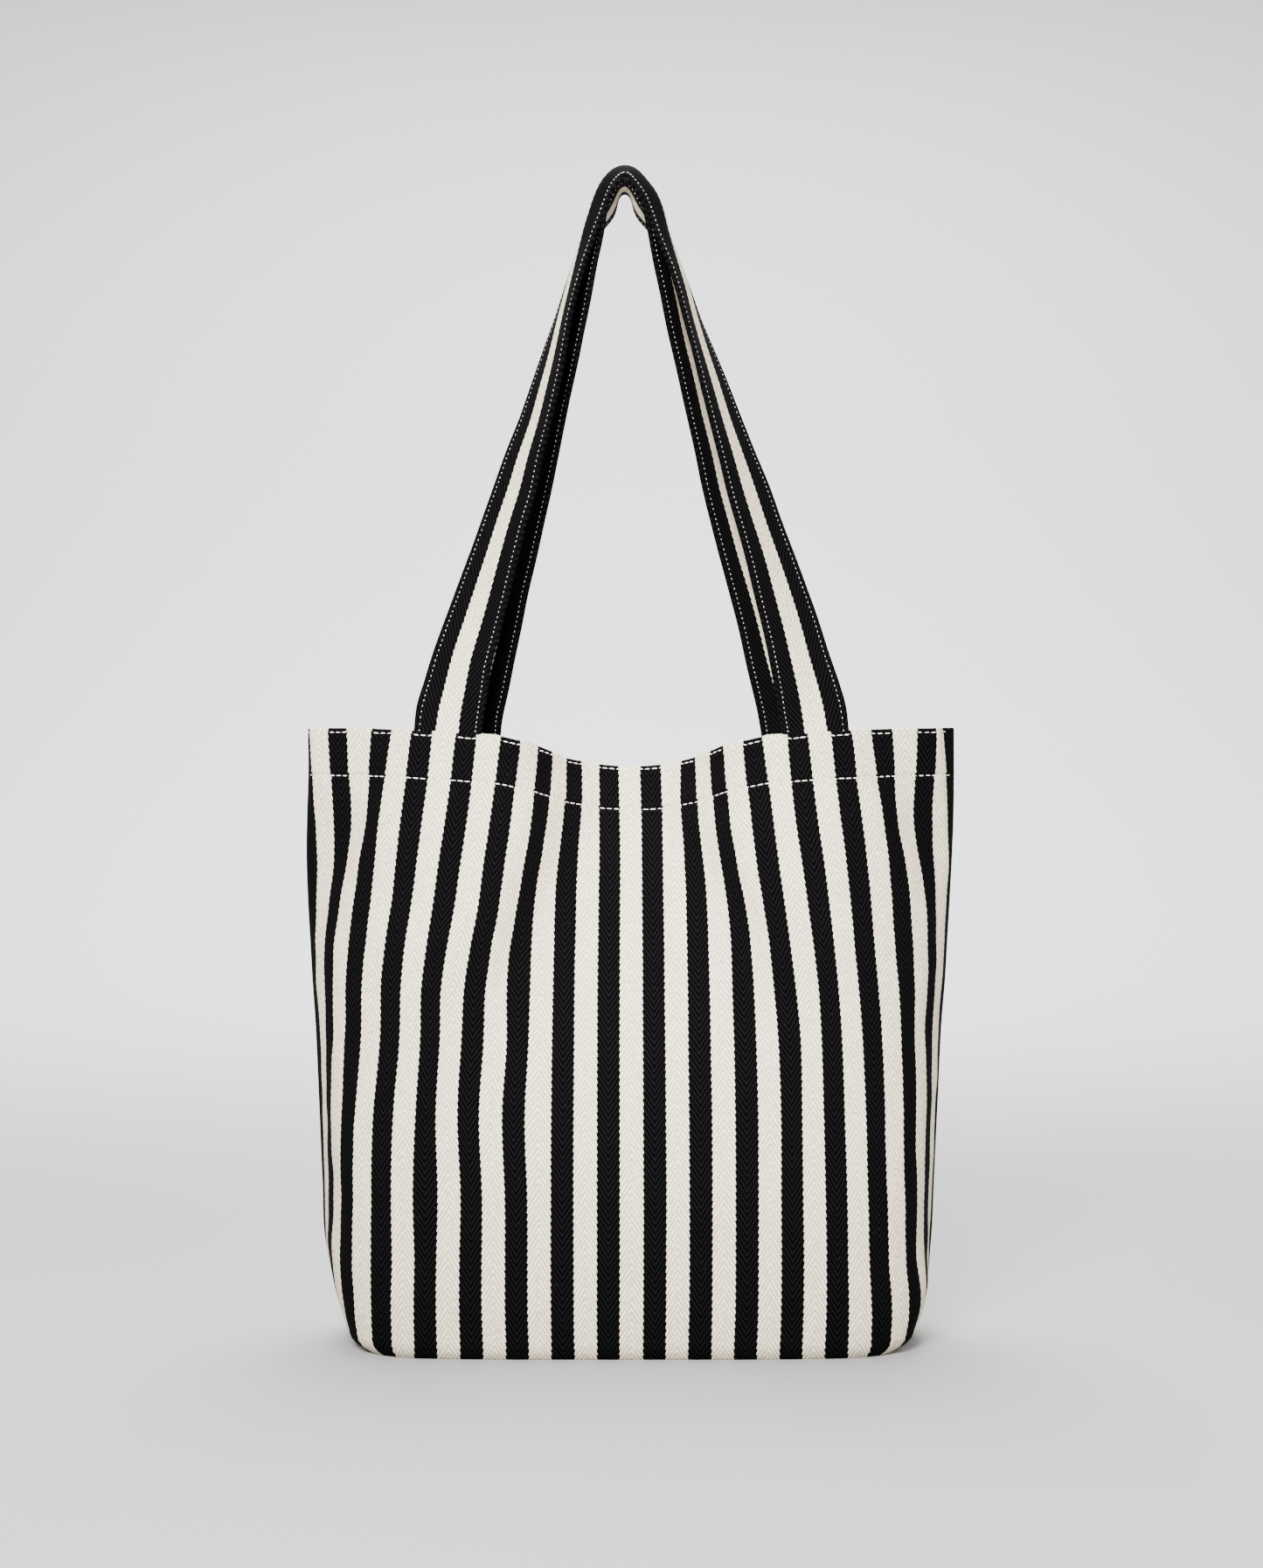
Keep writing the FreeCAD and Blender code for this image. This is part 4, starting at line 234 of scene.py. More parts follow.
# ------------------------------------------------------------------ materials
class Nodes:
    def __init__(self, name):
        self.mat = bpy.data.materials.new(name)
        self.mat.use_nodes = True
        self.t = self.mat.node_tree
        self.bsdf = self.t.nodes["Principled BSDF"]

    def link(self, a, b):
        self.t.links.new(a, b)

    def put(self, socket, v):
        if hasattr(v, "is_linked"):
            self.link(v, socket)
        else:
            socket.default_value = v

    def m(self, op, a, b=None, c=None, clamp=False):
        n = self.t.nodes.new("ShaderNodeMath")
        n.operation = op
        n.use_clamp = clamp
        self.put(n.inputs[0], a)
        if b is not None:
            self.put(n.inputs[1], b)
        if c is not None:
            self.put(n.inputs[2], c)
        return n.outputs[0]

    def ramp(self, x, a, b, lo=0.0, hi=1.0):
        """Smooth step of x from a to b, giving lo to hi."""
        n = self.t.nodes.new("ShaderNodeMapRange")
        n.interpolation_type = "SMOOTHSTEP"
        self.put(n.inputs["Value"], x)
        n.inputs["From Min"].default_value = a
        n.inputs["From Max"].default_value = b
        n.inputs["To Min"].default_value = lo
        n.inputs["To Max"].default_value = hi
        return n.outputs["Result"]

    def mix(self, f, a, b):
        n = self.t.nodes.new("ShaderNodeMix")
        n.data_type = "RGBA"
        self.put(n.inputs["Factor"], f)
        self.put(n.inputs[6], a)
        self.put(n.inputs[7], b)
        return n.outputs[2]

    def noise(self, vec, scale, detail=2.0, rough=0.5):
        n = self.t.nodes.new("ShaderNodeTexNoise")
        n.inputs["Scale"].default_value = scale
        n.inputs["Detail"].default_value = detail
        n.inputs["Roughness"].default_value = rough
        if vec is not None:
            self.link(vec, n.inputs["Vector"])
        return n.outputs["Fac"]

    def vec(self, x, y, z=0.0):
        n = self.t.nodes.new("ShaderNodeCombineXYZ")
        self.put(n.inputs[0], x)
        self.put(n.inputs[1], y)
        self.put(n.inputs[2], z)
        return n.outputs[0]

    def uv(self):
        n = self.t.nodes.new("ShaderNodeUVMap")
        n.uv_map = "UVMap"
        p = self.t.nodes.new("ShaderNodeSeparateXYZ")
        self.link(n.outputs[0], p.inputs[0])
        return self.m("MULTIPLY", p.outputs[0], 100.0), self.m("MULTIPLY", p.outputs[1], 100.0)

    def bump(self, height, strength, distance):
        n = self.t.nodes.new("ShaderNodeBump")
        n.inputs["Strength"].default_value = strength
        n.inputs["Distance"].default_value = distance
        self.link(height, n.inputs["Height"])
        self.link(n.outputs[0], self.bsdf.inputs["Normal"])


WHITE = (0.87, 0.765, 0.572, 1)
WHITE_LINE = (0.17, 0.135, 0.09, 1)
BLACK = (0.0004, 0.0004, 0.0005, 1)
BLACK_LINE = (0.0075, 0.0074, 0.0077, 1)
PITCH = 4.0


def stripe_canvas(name, strap=False):
    n = Nodes(name)
    s0, t0 = n.uv()
    pos = n.vec(s0, t0)
    wob = n.m("SUBTRACT", n.noise(pos, 0.30, 2.0), 0.5)
    wob2 = n.m("SUBTRACT", n.noise(n.vec(n.m("ADD", s0, 300.0), t0), 0.9, 2.0), 0.5)
    s = n.m("ADD", s0, n.m("MULTIPLY", wob2, 0.35))
    t = n.m("ADD", t0, n.m("MULTIPLY", wob, 0.9))
    # distance from the middle of the nearest white stripe
    tri = n.m("ABSOLUTE", n.m("SUBTRACT", n.m("MODULO", n.m("ADD", s, 12.7 + 25.4 * 40), 25.4), 12.7))
    if strap:
        tri = n.m("ABSOLUTE", s)
    slope = -1.7 if strap else 1.7
    phase = n.m("DIVIDE", n.m("ADD", t, n.m("MULTIPLY", tri, slope)), PITCH)
    wave = n.m("SINE", n.m("MULTIPLY", phase, 2 * math.pi))
    # the colour changes at the stripe edge, nicked by the weave
    edge = n.m("ADD", tri, n.m("MULTIPLY", wave, 0.26))
    if not strap:
        # the outermost black stripe runs right into the side seam
        edge = n.m("ADD", edge, n.ramp(n.m("ABSOLUTE", s0), 220.6, 221.2, 0.0, 2.0))
    white = n.ramp(edge, 6.35 - 0.16, 6.35 + 0.16, 1.0, 0.0)
    yarn = n.noise(n.vec(n.m("MULTIPLY", s0, 1.0), n.m("MULTIPLY", t0, 1.0)), 2.6, 3.0, 0.65)
    cloud = n.noise(pos, 0.045, 3.0)
    along = n.noise(n.vec(n.m("MULTIPLY", s0, 5.0), n.m("MULTIPLY", t0, 0.12)), 0.6, 2.0)
    line = n.m("MULTIPLY", n.ramp(wave, -0.1, 1.0), n.ramp(yarn, 0.25, 0.7, 0.45, 1.0))
    wcol = n.mix(n.m("MULTIPLY", line, 1.0), WHITE, WHITE_LINE)
    wcol = n.mix(n.ramp(cloud, 0.35, 0.7, 0.0, 0.16), wcol, (0.74, 0.665, 0.585, 1))
    wcol = n.mix(n.ramp(along, 0.52, 0.75, 0.0, 0.14), wcol, WHITE_LINE)
    mottle = n.noise(n.vec(n.m("MULTIPLY", s0, 0.8), n.m("ADD", t0, 55.0)), 0.42, 2.0, 0.6)
    wcol = n.mix(n.ramp(mottle, 0.42, 0.64, 0.0, 0.80), wcol, (0.50, 0.435, 0.34, 1))
    bcol = n.mix(n.m("MULTIPLY", line, 0.75), BLACK, BLACK_LINE)
    bcol = n.mix(n.ramp(along, 0.5, 0.72, 0.0, 0.5), bcol, (0.0008, 0.0008, 0.0010, 1))
    fleck = n.noise(n.vec(n.m("ADD", s0, 71.0), n.m("MULTIPLY", t0, 0.6)), 1.15, 1.0, 0.3)
    bcol = n.mix(n.ramp(fleck, 0.76, 0.80, 0.0, 0.5), bcol, (0.035, 0.035, 0.035, 1))
    col = n.mix(white, bcol, wcol)
    if strap:
        rows = [(n.m("SUBTRACT", n.m("ABSOLUTE", s0), STRAP_W / 2 - 2.7), t0, STRAP_P, 0.0)]
    else:
        rows = [(n.m("SUBTRACT", t0, RIM_T), s0, STITCH_P, 0.0), (n.m("SUBTRACT", t0, HEM_T), s0, STITCH_P, 1.7)]
    holes = None
    for across, along_row, pitch, shift in rows:
        f = n.m("SUBTRACT", n.m("MODULO", n.m("ADD", along_row, 1000 * pitch + pitch / 2 + shift), pitch), pitch / 2)
        r = n.m("SQRT", n.m("ADD", n.m("MULTIPLY", f, f), n.m("MULTIPLY", across, across)))
        h = n.ramp(r, 0.28, 0.75, 1.0, 0.0)
        holes = h if holes is None else n.m("MAXIMUM", holes, h)
    # painted shade: the needle holes are painted darker on white stripes, standing in for the shade inside the
    # holes; on black stripes they get a slightly lighter speck where the thread shows
    col = n.mix(n.m("MULTIPLY", holes, 0.55), col, n.mix(white, (0.006, 0.006, 0.006, 1), (0.33, 0.25, 0.17, 1)))
    if not strap:
        # painted shade: the turned edge is painted a little darker and warmer where it folds over, standing in for
        # the shade of the fold
        rim_fold_painted_shade = n.ramp(t0, CLOTH_H - 1.2, CLOTH_H + 0.3, 0.0, 0.25)
        col = n.mix(n.m("MULTIPLY", rim_fold_painted_shade, white), col, (0.62, 0.55, 0.48, 1))
    n.link(col, n.bsdf.inputs["Base Color"])
    n.bsdf.inputs["Roughness"].default_value = 0.93
    n.bsdf.inputs["Specular IOR Level"].default_value = 0.035
    n.bsdf.inputs["Sheen Weight"].default_value = 0.0
    n.bsdf.inputs["Sheen Roughness"].default_value = 0.6
    fine = n.noise(pos, 5.0, 2.0, 0.7)
    hgt = n.m("ADD", n.m("MULTIPLY", wave, -0.5), n.m("ADD", n.m("MULTIPLY", yarn, 1.1), n.m("MULTIPLY", fine, 0.7)))
    hgt = n.m("SUBTRACT", hgt, n.m("MULTIPLY", holes, 1.6))
    n.bump(hgt, 0.5, 0.00025)
    return n.mat


def thread_material():
    n = Nodes("thread")
    c = n.t.nodes.new("ShaderNodeTexCoord").outputs["Object"]
    g = n.noise(c, 2200.0, 2.0)
    n.link(n.mix(n.ramp(g, 0.35, 0.7), (0.90, 0.88, 0.82, 1), (0.70, 0.66, 0.58, 1)), n.bsdf.inputs["Base Color"])
    n.bsdf.inputs["Roughness"].default_value = 0.75
    n.bump(g, 0.4, 0.0002)
    return n.mat


def tape_material():
    n = Nodes("binding_tape")
    c = n.t.nodes.new("ShaderNodeTexCoord").outputs["Object"]
    w = n.t.nodes.new("ShaderNodeTexWave")
    w.wave_type = "BANDS"
    w.bands_direction = "Z"
    w.inputs["Scale"].default_value = 420.0
    w.inputs["Distortion"].default_value = 1.5
    n.link(c, w.inputs["Vector"])
    g = n.noise(c, 900.0, 3.0)
    n.link(n.mix(n.m("MULTIPLY", w.outputs["Fac"], n.ramp(g, 0.3, 0.7, 0.3, 0.8)), (0.68, 0.64, 0.57, 1), (0.50, 0.46, 0.39, 1)),
           n.bsdf.inputs["Base Color"])
    n.bsdf.inputs["Roughness"].default_value = 0.9
    n.bump(n.m("ADD", w.outputs["Fac"], g), 0.4, 0.0003)
    return n.mat


CANVAS = stripe_canvas("canvas")
STRAP_CANVAS = stripe_canvas("strap_canvas", strap=True)
THREAD = thread_material()
TAPE = tape_material()

# ------------------------------------------------------------------ body panels
COLS = 380
SS = np.linspace(-SEAM_S, SEAM_S, COLS + 1)
lowt = np.linspace(0, 319, 122)
hight = np.linspace(320, CLOTH_H - 1.1, 58)
TT = np.concatenate([np.linspace(0, 6, 5)[:-1], lowt[lowt >= 6], hight])


def stripe_wave(s):
    """+1 inside white stripes, -1 inside black ones, with a short change between."""
    tri = np.abs(np.mod(s + 12.7 + 25400, 25.4) - 12.7)
    return 1 - 2 * step(6.35 - 0.7, 6.35 + 0.7, tri)


def body_surface(X, Y, Z, seed):
    P = np.stack([X, Y, Z], -1)
    Q = smooth(T, P, TT)                                   # rows t
    Q = np.swapaxes(smooth(S, np.swapaxes(Q, 0, 1), SS), 0, 1)
    N = normals(Q)
    s, t = SS[None, :], TT[:, None]
    wall = step(4, 30, t)
    d = waves(s, t, seed, 14, 45, 120, 0.50) * wall
    d = d + waves(s, t, seed + 1, 18, 12, 32, 0.16) * wall
    # hem band stands a little proud and is drawn in along both rows of stitching
    d = d + 0.55 * step(HEM_T + 0.2, HEM_T + 2.2, t) - 0.30 * step(CLOTH_H - 4, CLOTH_H, t)
    d = d - 0.45 * np.exp(-((t - HEM_T) / 1.0) ** 2) - 0.30 * np.exp(-((t - RIM_T) / 0.8) ** 2)
    d = d + 0.22 * np.exp(-((t - HEM_T - 3.5) / 3.0) ** 2) * waves(s, 0 * t, seed + 2, 6, 6, 15, 1.0)
    d = d + 0.16 * np.exp(-((t - HEM_T + 4.0) / 5.0) ** 2) * waves(s, 0 * t, seed + 3, 6, 9, 22, 1.0)
    side = 1 - step(SEAM_S - 8, SEAM_S - 1, np.abs(s))
    Q = Q + N * (d * side)[..., None]
    # every stripe's top edge stands at its own height
    r = np.random.default_rng(seed + 5)
    k = np.floor((SS + 6.35) / 12.7).astype(int)
    lift = dict((i, r.uniform(-0.3, 0.35) + (0.30 if i % 2 == 0 else -0.2)) for i in range(k.min() - 1, k.max() + 2))
    h = np.array([lift[i] for i in k])
    ker = np.ones(3) / 3
    h = np.convolve(np.pad(h, 1, mode="edge"), ker, mode="valid")
    Q[..., 2] += h[None, :] * step(CLOTH_H - 24, CLOTH_H - 2, t)
    return Q


def in_pocket(s):
    a = np.abs(np.abs(s) - 127.0)
    return 1 - step(19.5, 25.0, a)


def build_panel(name, X, Y, Z, flip, seed):
    out = body_surface(X, Y, Z, seed)
    N = normals(out)
    if flip:
        N = -N
    s, t = SS[None, :], TT[:, None]
    hem = step(HEM_T - 1.5, HEM_T - 0.7, t)
    th = CLOTH + hem * (CLOTH * 0.95 + 2.5 * in_pocket(s))
    Nh = N.copy()
    inn = out - Nh * th[..., None]
    # seam ends: keep the inner corner inside
    for j, sg in ((0, 1), (-1, -1)):
        inn[:, j] = out[:, j] + np.array([sg, 0, 0]) * CLOTH
    low = out[:, :, 2] < 12
    # base: outer face at z 0, inner face at z CLOTH
    inn[..., 2] = np.maximum(inn[..., 2], CLOTH)
    nb = 5
    base_o, base_i, uvb = [], [], []
    for k in range(nb):
        f = k / nb
        row = out[0].copy()
        row[:, 1] *= f
        row[:, 2] = 0
        base_o.append(row)
        ri = inn[0].copy()
        ri[:, 1] *= f
        ri[:, 2] = CLOTH
        base_i.append(ri)
        uvb.append(np.stack([SS, -np.abs(out[0, :, 1]) * (1 - f)], -1))
    # rim fold
    nf = 5
    C = (out[-1] + inn[-1]) / 2
    H = (out[-1] - inn[-1]) / 2
    U = unit(out[-1] - out[-2])
    fold, uvf = [], []
    for k in range(1, nf + 1):
        a = math.pi * k / (nf + 1)
        fold.append(C + H * math.cos(a) + U * 1.1 * math.sin(a))
        uvf.append(np.stack([SS, np.full_like(SS, TT[-1] + 1.1 * (1 - math.cos(a)))], -1))
    rows = base_o + list(out) + fold + list(inn[::-1]) + base_i[::-1]
    uv_wall = [np.stack([SS, np.full_like(SS, v)], -1) for v in TT]
    uvs = uvb + uv_wall + uvf + uv_wall[::-1] + uvb[::-1]
    V = np.concatenate(rows)
    UV = np.concatenate(uvs)
    R, C_ = len(rows), len(SS)
    faces = []
    for i in range(R):
        j = (i + 1) % R
        for c in range(C_ - 1):
            q = (i * C_ + c, i * C_ + c + 1, j * C_ + c + 1, j * C_ + c)
            faces.append(q if not flip else q[::-1])
    for c, rev in ((0, False), (C_ - 1, True)):
        for i in range(R // 2 - 1):
            a, b, d, e = i, i + 1, R - 2 - i, R - 1 - i
            q = (a * C_ + c, b * C_ + c, d * C_ + c, e * C_ + c)
            if len(set(q)) < 4:
                continue
            faces.append(q if rev == flip else q[::-1])
    ob = make_mesh(name, V, faces, UV, CANVAS)
    return ob, out, N


front_ob, F_OUT, F_N = build_panel("front_canvas", FX, FY, FZ, False, 21)
back_ob, B_OUT, B_N = build_panel("back_canvas", BX, BY, BZ, True, 47)


def read(G, s, t):
    """Value of a panel grid at cloth coordinates."""
    fc = (np.asarray(s, float) + SEAM_S) / (2 * SEAM_S) * COLS
    fr = np.interp(t, TT, np.arange(len(TT)))
    c0 = np.clip(np.floor(fc).astype(int), 0, COLS - 1)
    r0 = np.clip(np.floor(fr).astype(int), 0, len(TT) - 2)
    u, v = (fc - c0)[..., None], (fr - r0)[..., None]
    return (G[r0, c0] * (1 - u) * (1 - v) + G[r0, c0 + 1] * u * (1 - v)
            + G[r0 + 1, c0] * (1 - u) * v + G[r0 + 1, c0 + 1] * u * v)


# ------------------------------------------------------------------ straps
def px(x, y, Y):
    """Front-view position (x to the right, y down, 1 unit = 1300/2574 mm at the bag's middle)."""
    k = (1300.0 + Y) / 2574.0
    return np.array([(x - 722.0) * k, Y, 319.2 + (897.0 - y) * k])


YM_Z = [352, 367, 388, 418, 448, 485, 525, 564, 595, 620, 640, 655, 677]
YM = {"f": [-16.4, -15.6, -14.6, -13.0, -11.5, -9.6, -7.6, -5.6, -4.1, -2.8, -1.8, -1.0, 0.0],
      "b": [22.0, 21.0, 19.5, 17.5, 15.5, 12.9, 10.2, 7.6, 5.4, 3.7, 2.4, 1.4, 0.0]}
TH_Z = [352, 367, 388, 407, 427, 447, 467, 487, 507, 527, 547, 567, 587, 597, 617, 633, 641, 651, 659, 665, 677]
TH = {"f": ([3, 16, 28, 32.5, 37, 41, 45.5, 49, 56, 60.5, 62, 67.5, 70, 69.5, 66, 58, 54, 49, 49, 50, 52],
            [3, 17, 30, 35, 41, 48, 53, 55, 60, 65, 68, 72.5, 75, 76.5, 79, 83, 86, 90, 91, 92, 90],
            [3, 12, 22, 28, 34, 38.5, 42, 44, 50, 54, 60, 67, 76, 79, 83, 88, 91, 94, 94, 93, 90]),
      "b": ([3, 16, 28, 32.5, 37, 41, 45, 47, 50.5, 53, 54, 55, 55, 55.5, 57, 62, 74, 92, 94, 84, 84],
            [3, 16, 28, 33, 38, 42.5, 47, 51.5, 57.5, 61.5, 65.5, 69.5, 74.5, 76.5, 82, 85, 89, 95, 94, 85, 85],
            [3, 16, 28, 33, 38, 43, 48, 53.5, 59.5, 63.5, 69.5, 75.5, 81.5, 83.5, 87, 86, 88, 91, 90, 82, 82])}
# line of the strap between its near stripe and its middle stripe (front strap), in front-view units
F_LINE = [(526, 820), (532, 790), (538, 760), (549.5, 720), (561, 680), (572, 640), (583, 600), (596, 560),
          (606, 520), (618, 480), (628, 440), (637, 400), (645.5, 360), (655, 320), (660, 300), (665, 280),
          (670, 260), (676, 240), (683, 220), (689, 208), (697, 198.5), (705, 192.5), (714.5, 190.5),
          (724, 192.5), (732, 199.5), (739, 208), (748, 220), (756, 240), (761, 260), (767, 280), (773, 300),
          (779, 320), (789.5, 360), (801, 400), (812.5, 440), (824, 480), (836, 520), (848, 560),
          (860.5, 600), (873, 640), (884, 680), (895, 720), (904.5, 760), (911.6, 790), (917.5, 820)]
# near edge of the back strap
B_LINE = [(573, 822), (580, 790), (586, 760), (594, 720), (602, 680), (611, 640), (620, 600), (629, 560),
          (637, 520), (645, 480), (653, 440), (662, 400), (670, 360), (678, 320), (682, 300), (686, 280),
          (689, 262), (690.5, 250), (692.5, 240), (695.5, 229), (699.5, 219), (704.5, 210.5), (709.5, 206),
          (714, 204.5), (718.5, 206), (723.5, 210.5), (729, 219), (733.5, 229), (737, 240), (739, 250),
          (741.5, 262), (745, 280), (749, 300), (753, 320), (761, 360), (770, 400), (779, 440),
          (788, 480), (797, 520), (805, 560), (815, 600), (825, 640), (836, 680), (846, 720), (855, 760),
          (862, 790), (869, 822)]
NQ = 33
Q = np.linspace(0, STRAP_W, NQ)


def strap_rows(which, line, at_edge):
    """Middle surface of a strap, rows from the left foot over the top to the right foot."""
    pts = []
    for x, y in line:
        p = px(x, y, 0)
        ym = np.interp(p[2], YM_Z, YM[which])
        th = math.radians(np.interp(p[2], TH_Z, TH[which][0]))
        Y = ym - (19.05 if at_edge else 6.35) * math.sin(th)
        pts.append(px(x, y, Y))
    pts = np.array(pts)
    tang = np.gradient(pts, axis=0)
    tang[:, 1] = 0
    tang = unit(tang)
    n_in = np.stack([tang[:, 2], 0 * tang[:, 0], -tang[:, 0]], -1)      # inwards: right of the way it goes
    rows = []
    for p, n, z in zip(pts, n_in, pts[:, 2]):
        a, b, c = (np.interp(z, TH_Z, v) for v in TH[which])
        th = np.radians(smooth([0, 9.5, 12.7, 16.5, 22.5, 28, 38.1], [a, a, (a + b) / 2, b, b, c, c], Q))
        d = np.cos(th)[:, None] * n - np.sin(th)[:, None] * np.array([0, 1.0, 0])
        stepq = Q[1] - Q[0]
        acc = np.concatenate([[np.zeros(3)], np.cumsum((d[1:] + d[:-1]) / 2 * stepq, axis=0)])
        ref = 0.0 if at_edge else 12.7
        zero = np.array([np.interp(ref, Q, acc[:, i]) for i in range(3)])
        rows.append(p - (acc - zero))
    return rows


def foot_rows(G, N, side, ts, s0):
    rows = []
    for t in ts:
        s = side * (s0 + Q)
        rows.append(read(G, s, np.full_like(s, t)) - unit(read(N, s, np.full_like(s, t))) * (CLOTH + STRAP_H + 0.1))
    return rows


def build_strap(name, which, line, at_edge, G, N):
    free = strap_rows(which, line, at_edge)
    ts = [325.5, 333, 341, 348]
    s0 = 106.3 if which == "f" else 102.4
    left = foot_rows(G, N, -1, ts, s0)
    right = foot_rows(G, N, 1, ts, s0)[::-1]
    ctrl = np.array(left + free + right)
    mid = ctrl[:, NQ // 2]
    L = np.concatenate([[0], np.cumsum(np.linalg.norm(np.diff(mid, axis=0), axis=1))])
    n = int(L[-1] / (1.5))
    l = np.linspace(0, L[-1], n)
    M = smooth(L, ctrl, l)
    # light smoothing along the length
    for _ in range(6):
        M[1:-1] = M[1:-1] * 0.5 + (M[:-2] + M[2:]) * 0.25
    l = np.concatenate([[0], np.cumsum(np.linalg.norm(np.diff(M[:, NQ // 2], axis=0), axis=1))])
    half = l[-1] / 2
    tl = np.where(l < half, l, l[-1] - l)                   # length from the nearer foot
    Nrm = normals(M)
    if Nrm[len(left) * 4, NQ // 2, 1] > 0:
        Nrm = -Nrm
    # cloth is drawn in along the edge stitching and swells a little between the rows
    e = np.minimum(Q, STRAP_W - Q)
    h = STRAP_H * (1 - 0.20 * np.exp(-((e - 2.7) / 0.8) ** 2))
    wob = waves(Q[None, :], l[:, None], 5 if which == "f" else 6, 10, 18, 50, 0.16)
    fade = step(0, 30, tl)[:, None]
    M = M + Nrm * (wob * fade)[..., None]
    rows, uvq = [], []
    for k in range(NQ):
        rows.append(M[:, k] + Nrm[:, k] * h[k])
        uvq.append(Q[k] - STRAP_W / 2)
    w_out = unit(M[:, -1] - M[:, -2])
    w_in = unit(M[:, 0] - M[:, 1])
    for a in (45, 0, -45):
        a = math.radians(a)
        rows.append(M[:, -1] + w_out * (STRAP_H * 0.7 * math.cos(a)) + Nrm[:, -1] * (h[-1] * math.sin(a)))
        uvq.append(STRAP_W / 2)
    for k in range(NQ - 1, -1, -1):
        rows.append(M[:, k] - Nrm[:, k] * h[k])
        uvq.append(Q[k] - STRAP_W / 2)
    for a in (-45, 0, 45):
        a = math.radians(a)
        rows.append(M[:, 0] + w_in * (STRAP_H * 0.7 * math.cos(a)) + Nrm[:, 0] * (h[0] * math.sin(a)))
        uvq.append(-STRAP_W / 2)
    V = np.stack(rows, 1)                                    # along, around
    n, K = V.shape[:2]
    UV = np.stack(np.broadcast_arrays(np.array(uvq)[None, :], tl[:, None]), -1)
    faces = [(i * K + k, i * K + (k + 1) % K, (i + 1) * K + (k + 1) % K, (i + 1) * K + k)
             for i in range(n - 1) for k in range(K)]
    # ends
    for i, rev in ((0, True), (n - 1, False)):
        for k in range(NQ - 1):
            kb = 2 * NQ + 2 - k
            q = (i * K + k, i * K + k + 1, i * K + kb - 1, i * K + kb)
            faces.append(q if not rev else q[::-1])
    ob = make_mesh(name, V.reshape(-1, 3), faces, UV.reshape(-1, 2), STRAP_CANVAS)
    return ob, M, Nrm, l, tl


fs_ob, FM, FNRM, FL, FTL = build_strap("front_strap_canvas", "f", F_LINE, False, F_OUT, F_N)
bs_ob, BM, BNRM, BL, BTL = build_strap("back_strap_canvas", "b", B_LINE, True, B_OUT, B_N)


# ------------------------------------------------------------------ stitches
def stitches(name, P, D, N, length, width, height, seed, sink=0.10):
    """One mesh of separate thread stitches at points P, along D, standing on normal N."""
    r = np.random.default_rng(seed)
    P, D, N = np.asarray(P), unit(np.asarray(D)), unit(np.asarray(N))
    W = unit(np.cross(N, D))
    us = np.array([-1, -0.86, -0.45, 0, 0.45, 0.86, 1])
    rad = np.array([0.12, 0.62, 0.95, 1.0, 0.95, 0.62, 0.12])
    K = 8
    ang = np.arange(K) / K * 2 * math.pi
    n = len(P)
    ll = length * r.uniform(0.88, 1.08, n)
    ww = width * r.uniform(0.9, 1.12, n)
    tilt = r.uniform(-0.05, 0.05, n)
    D2 = unit(D + W * tilt[:, None])
    P = P + W * r.uniform(-0.08, 0.08, n)[:, None] + D * r.uniform(-0.12, 0.12, n)[:, None]
    verts = []
    for u, q in zip(us, rad):
        c = P + D2 * (u * ll / 2)[:, None] + N * ((height * 0.5 - sink) - 0.30 * height * u * u)[:, None] if False else \
            P + D2 * (u * ll / 2)[:, None] + N * (height * 0.5 - sink - 0.55 * height * u ** 4)
        for a in ang:
            verts.append(c + W * (math.cos(a) * q * ww / 2)[:, None] + N * (math.sin(a) * q * height / 2))
    V = np.stack(verts, 1)
    m = V.shape[1]
    faces = []
    one = []
    for i in range(len(us) - 1):
        for k in range(K):
            one.append((i * K + k, i * K + (k + 1) % K, (i + 1) * K + (k + 1) % K, (i + 1) * K + k))
    one.append(tuple(range(K))[::-1])
    one.append(tuple((len(us) - 1) * K + k for k in range(K)))
    for j in range(n):
        faces += [tuple(v + j * m for v in f) for f in one]
    return make_mesh(name, V.reshape(-1, 3), faces, None, THREAD)


def panel_row(name, G, N, t, shift, seed):
    s = np.arange(-216, 216, STITCH_P)
    k0 = math.ceil((-217 + shift) / STITCH_P)
    k1 = math.floor((217 + shift) / STITCH_P)
    s = (np.arange(k0, k1) + 0.5) * STITCH_P - shift
    tt = np.full_like(s, t)
    P = read(G, s, tt)
    D = read(G, s + 1.2, tt) - read(G, s - 1.2, tt)
    return stitches(name, P, D, read(N, s, tt), 3.35, 0.66, 0.52, seed)


f_rim = panel_row("front_rim_stitches", F_OUT, F_N, RIM_T, 0.0, 1)
f_hem = panel_row("front_hem_stitches", F_OUT, F_N, HEM_T, 1.7, 2)
b_rim = panel_row("back_rim_stitches", B_OUT, B_N, RIM_T, 0.0, 3)
b_hem = panel_row("back_hem_stitches", B_OUT, B_N, HEM_T, 1.7, 4)


def strap_row(M, Nrm, l, tl, q, seed):
    k0 = math.ceil(25.8 / STRAP_P)
    out = []
    half = l[-1] / 2
    c = (np.arange(k0, int((half - 1) / STRAP_P)) + 0.5) * STRAP_P
    ls = np.concatenate([c, l[-1] - c[::-1]])
    iq = q / STRAP_W * (NQ - 1)
    a, u = int(iq), iq - int(iq)
    line = M[:, a] * (1 - u) + M[:, a + 1] * u
    nl = Nrm[:, a] * (1 - u) + Nrm[:, a + 1] * u
    f = lambda arr, x: np.stack([np.interp(x, l, arr[:, i]) for i in range(3)], -1)
    P, D, N = f(line, ls), f(line, ls + 0.8) - f(line, ls - 0.8), unit(f(nl, ls))
    return P, D, N


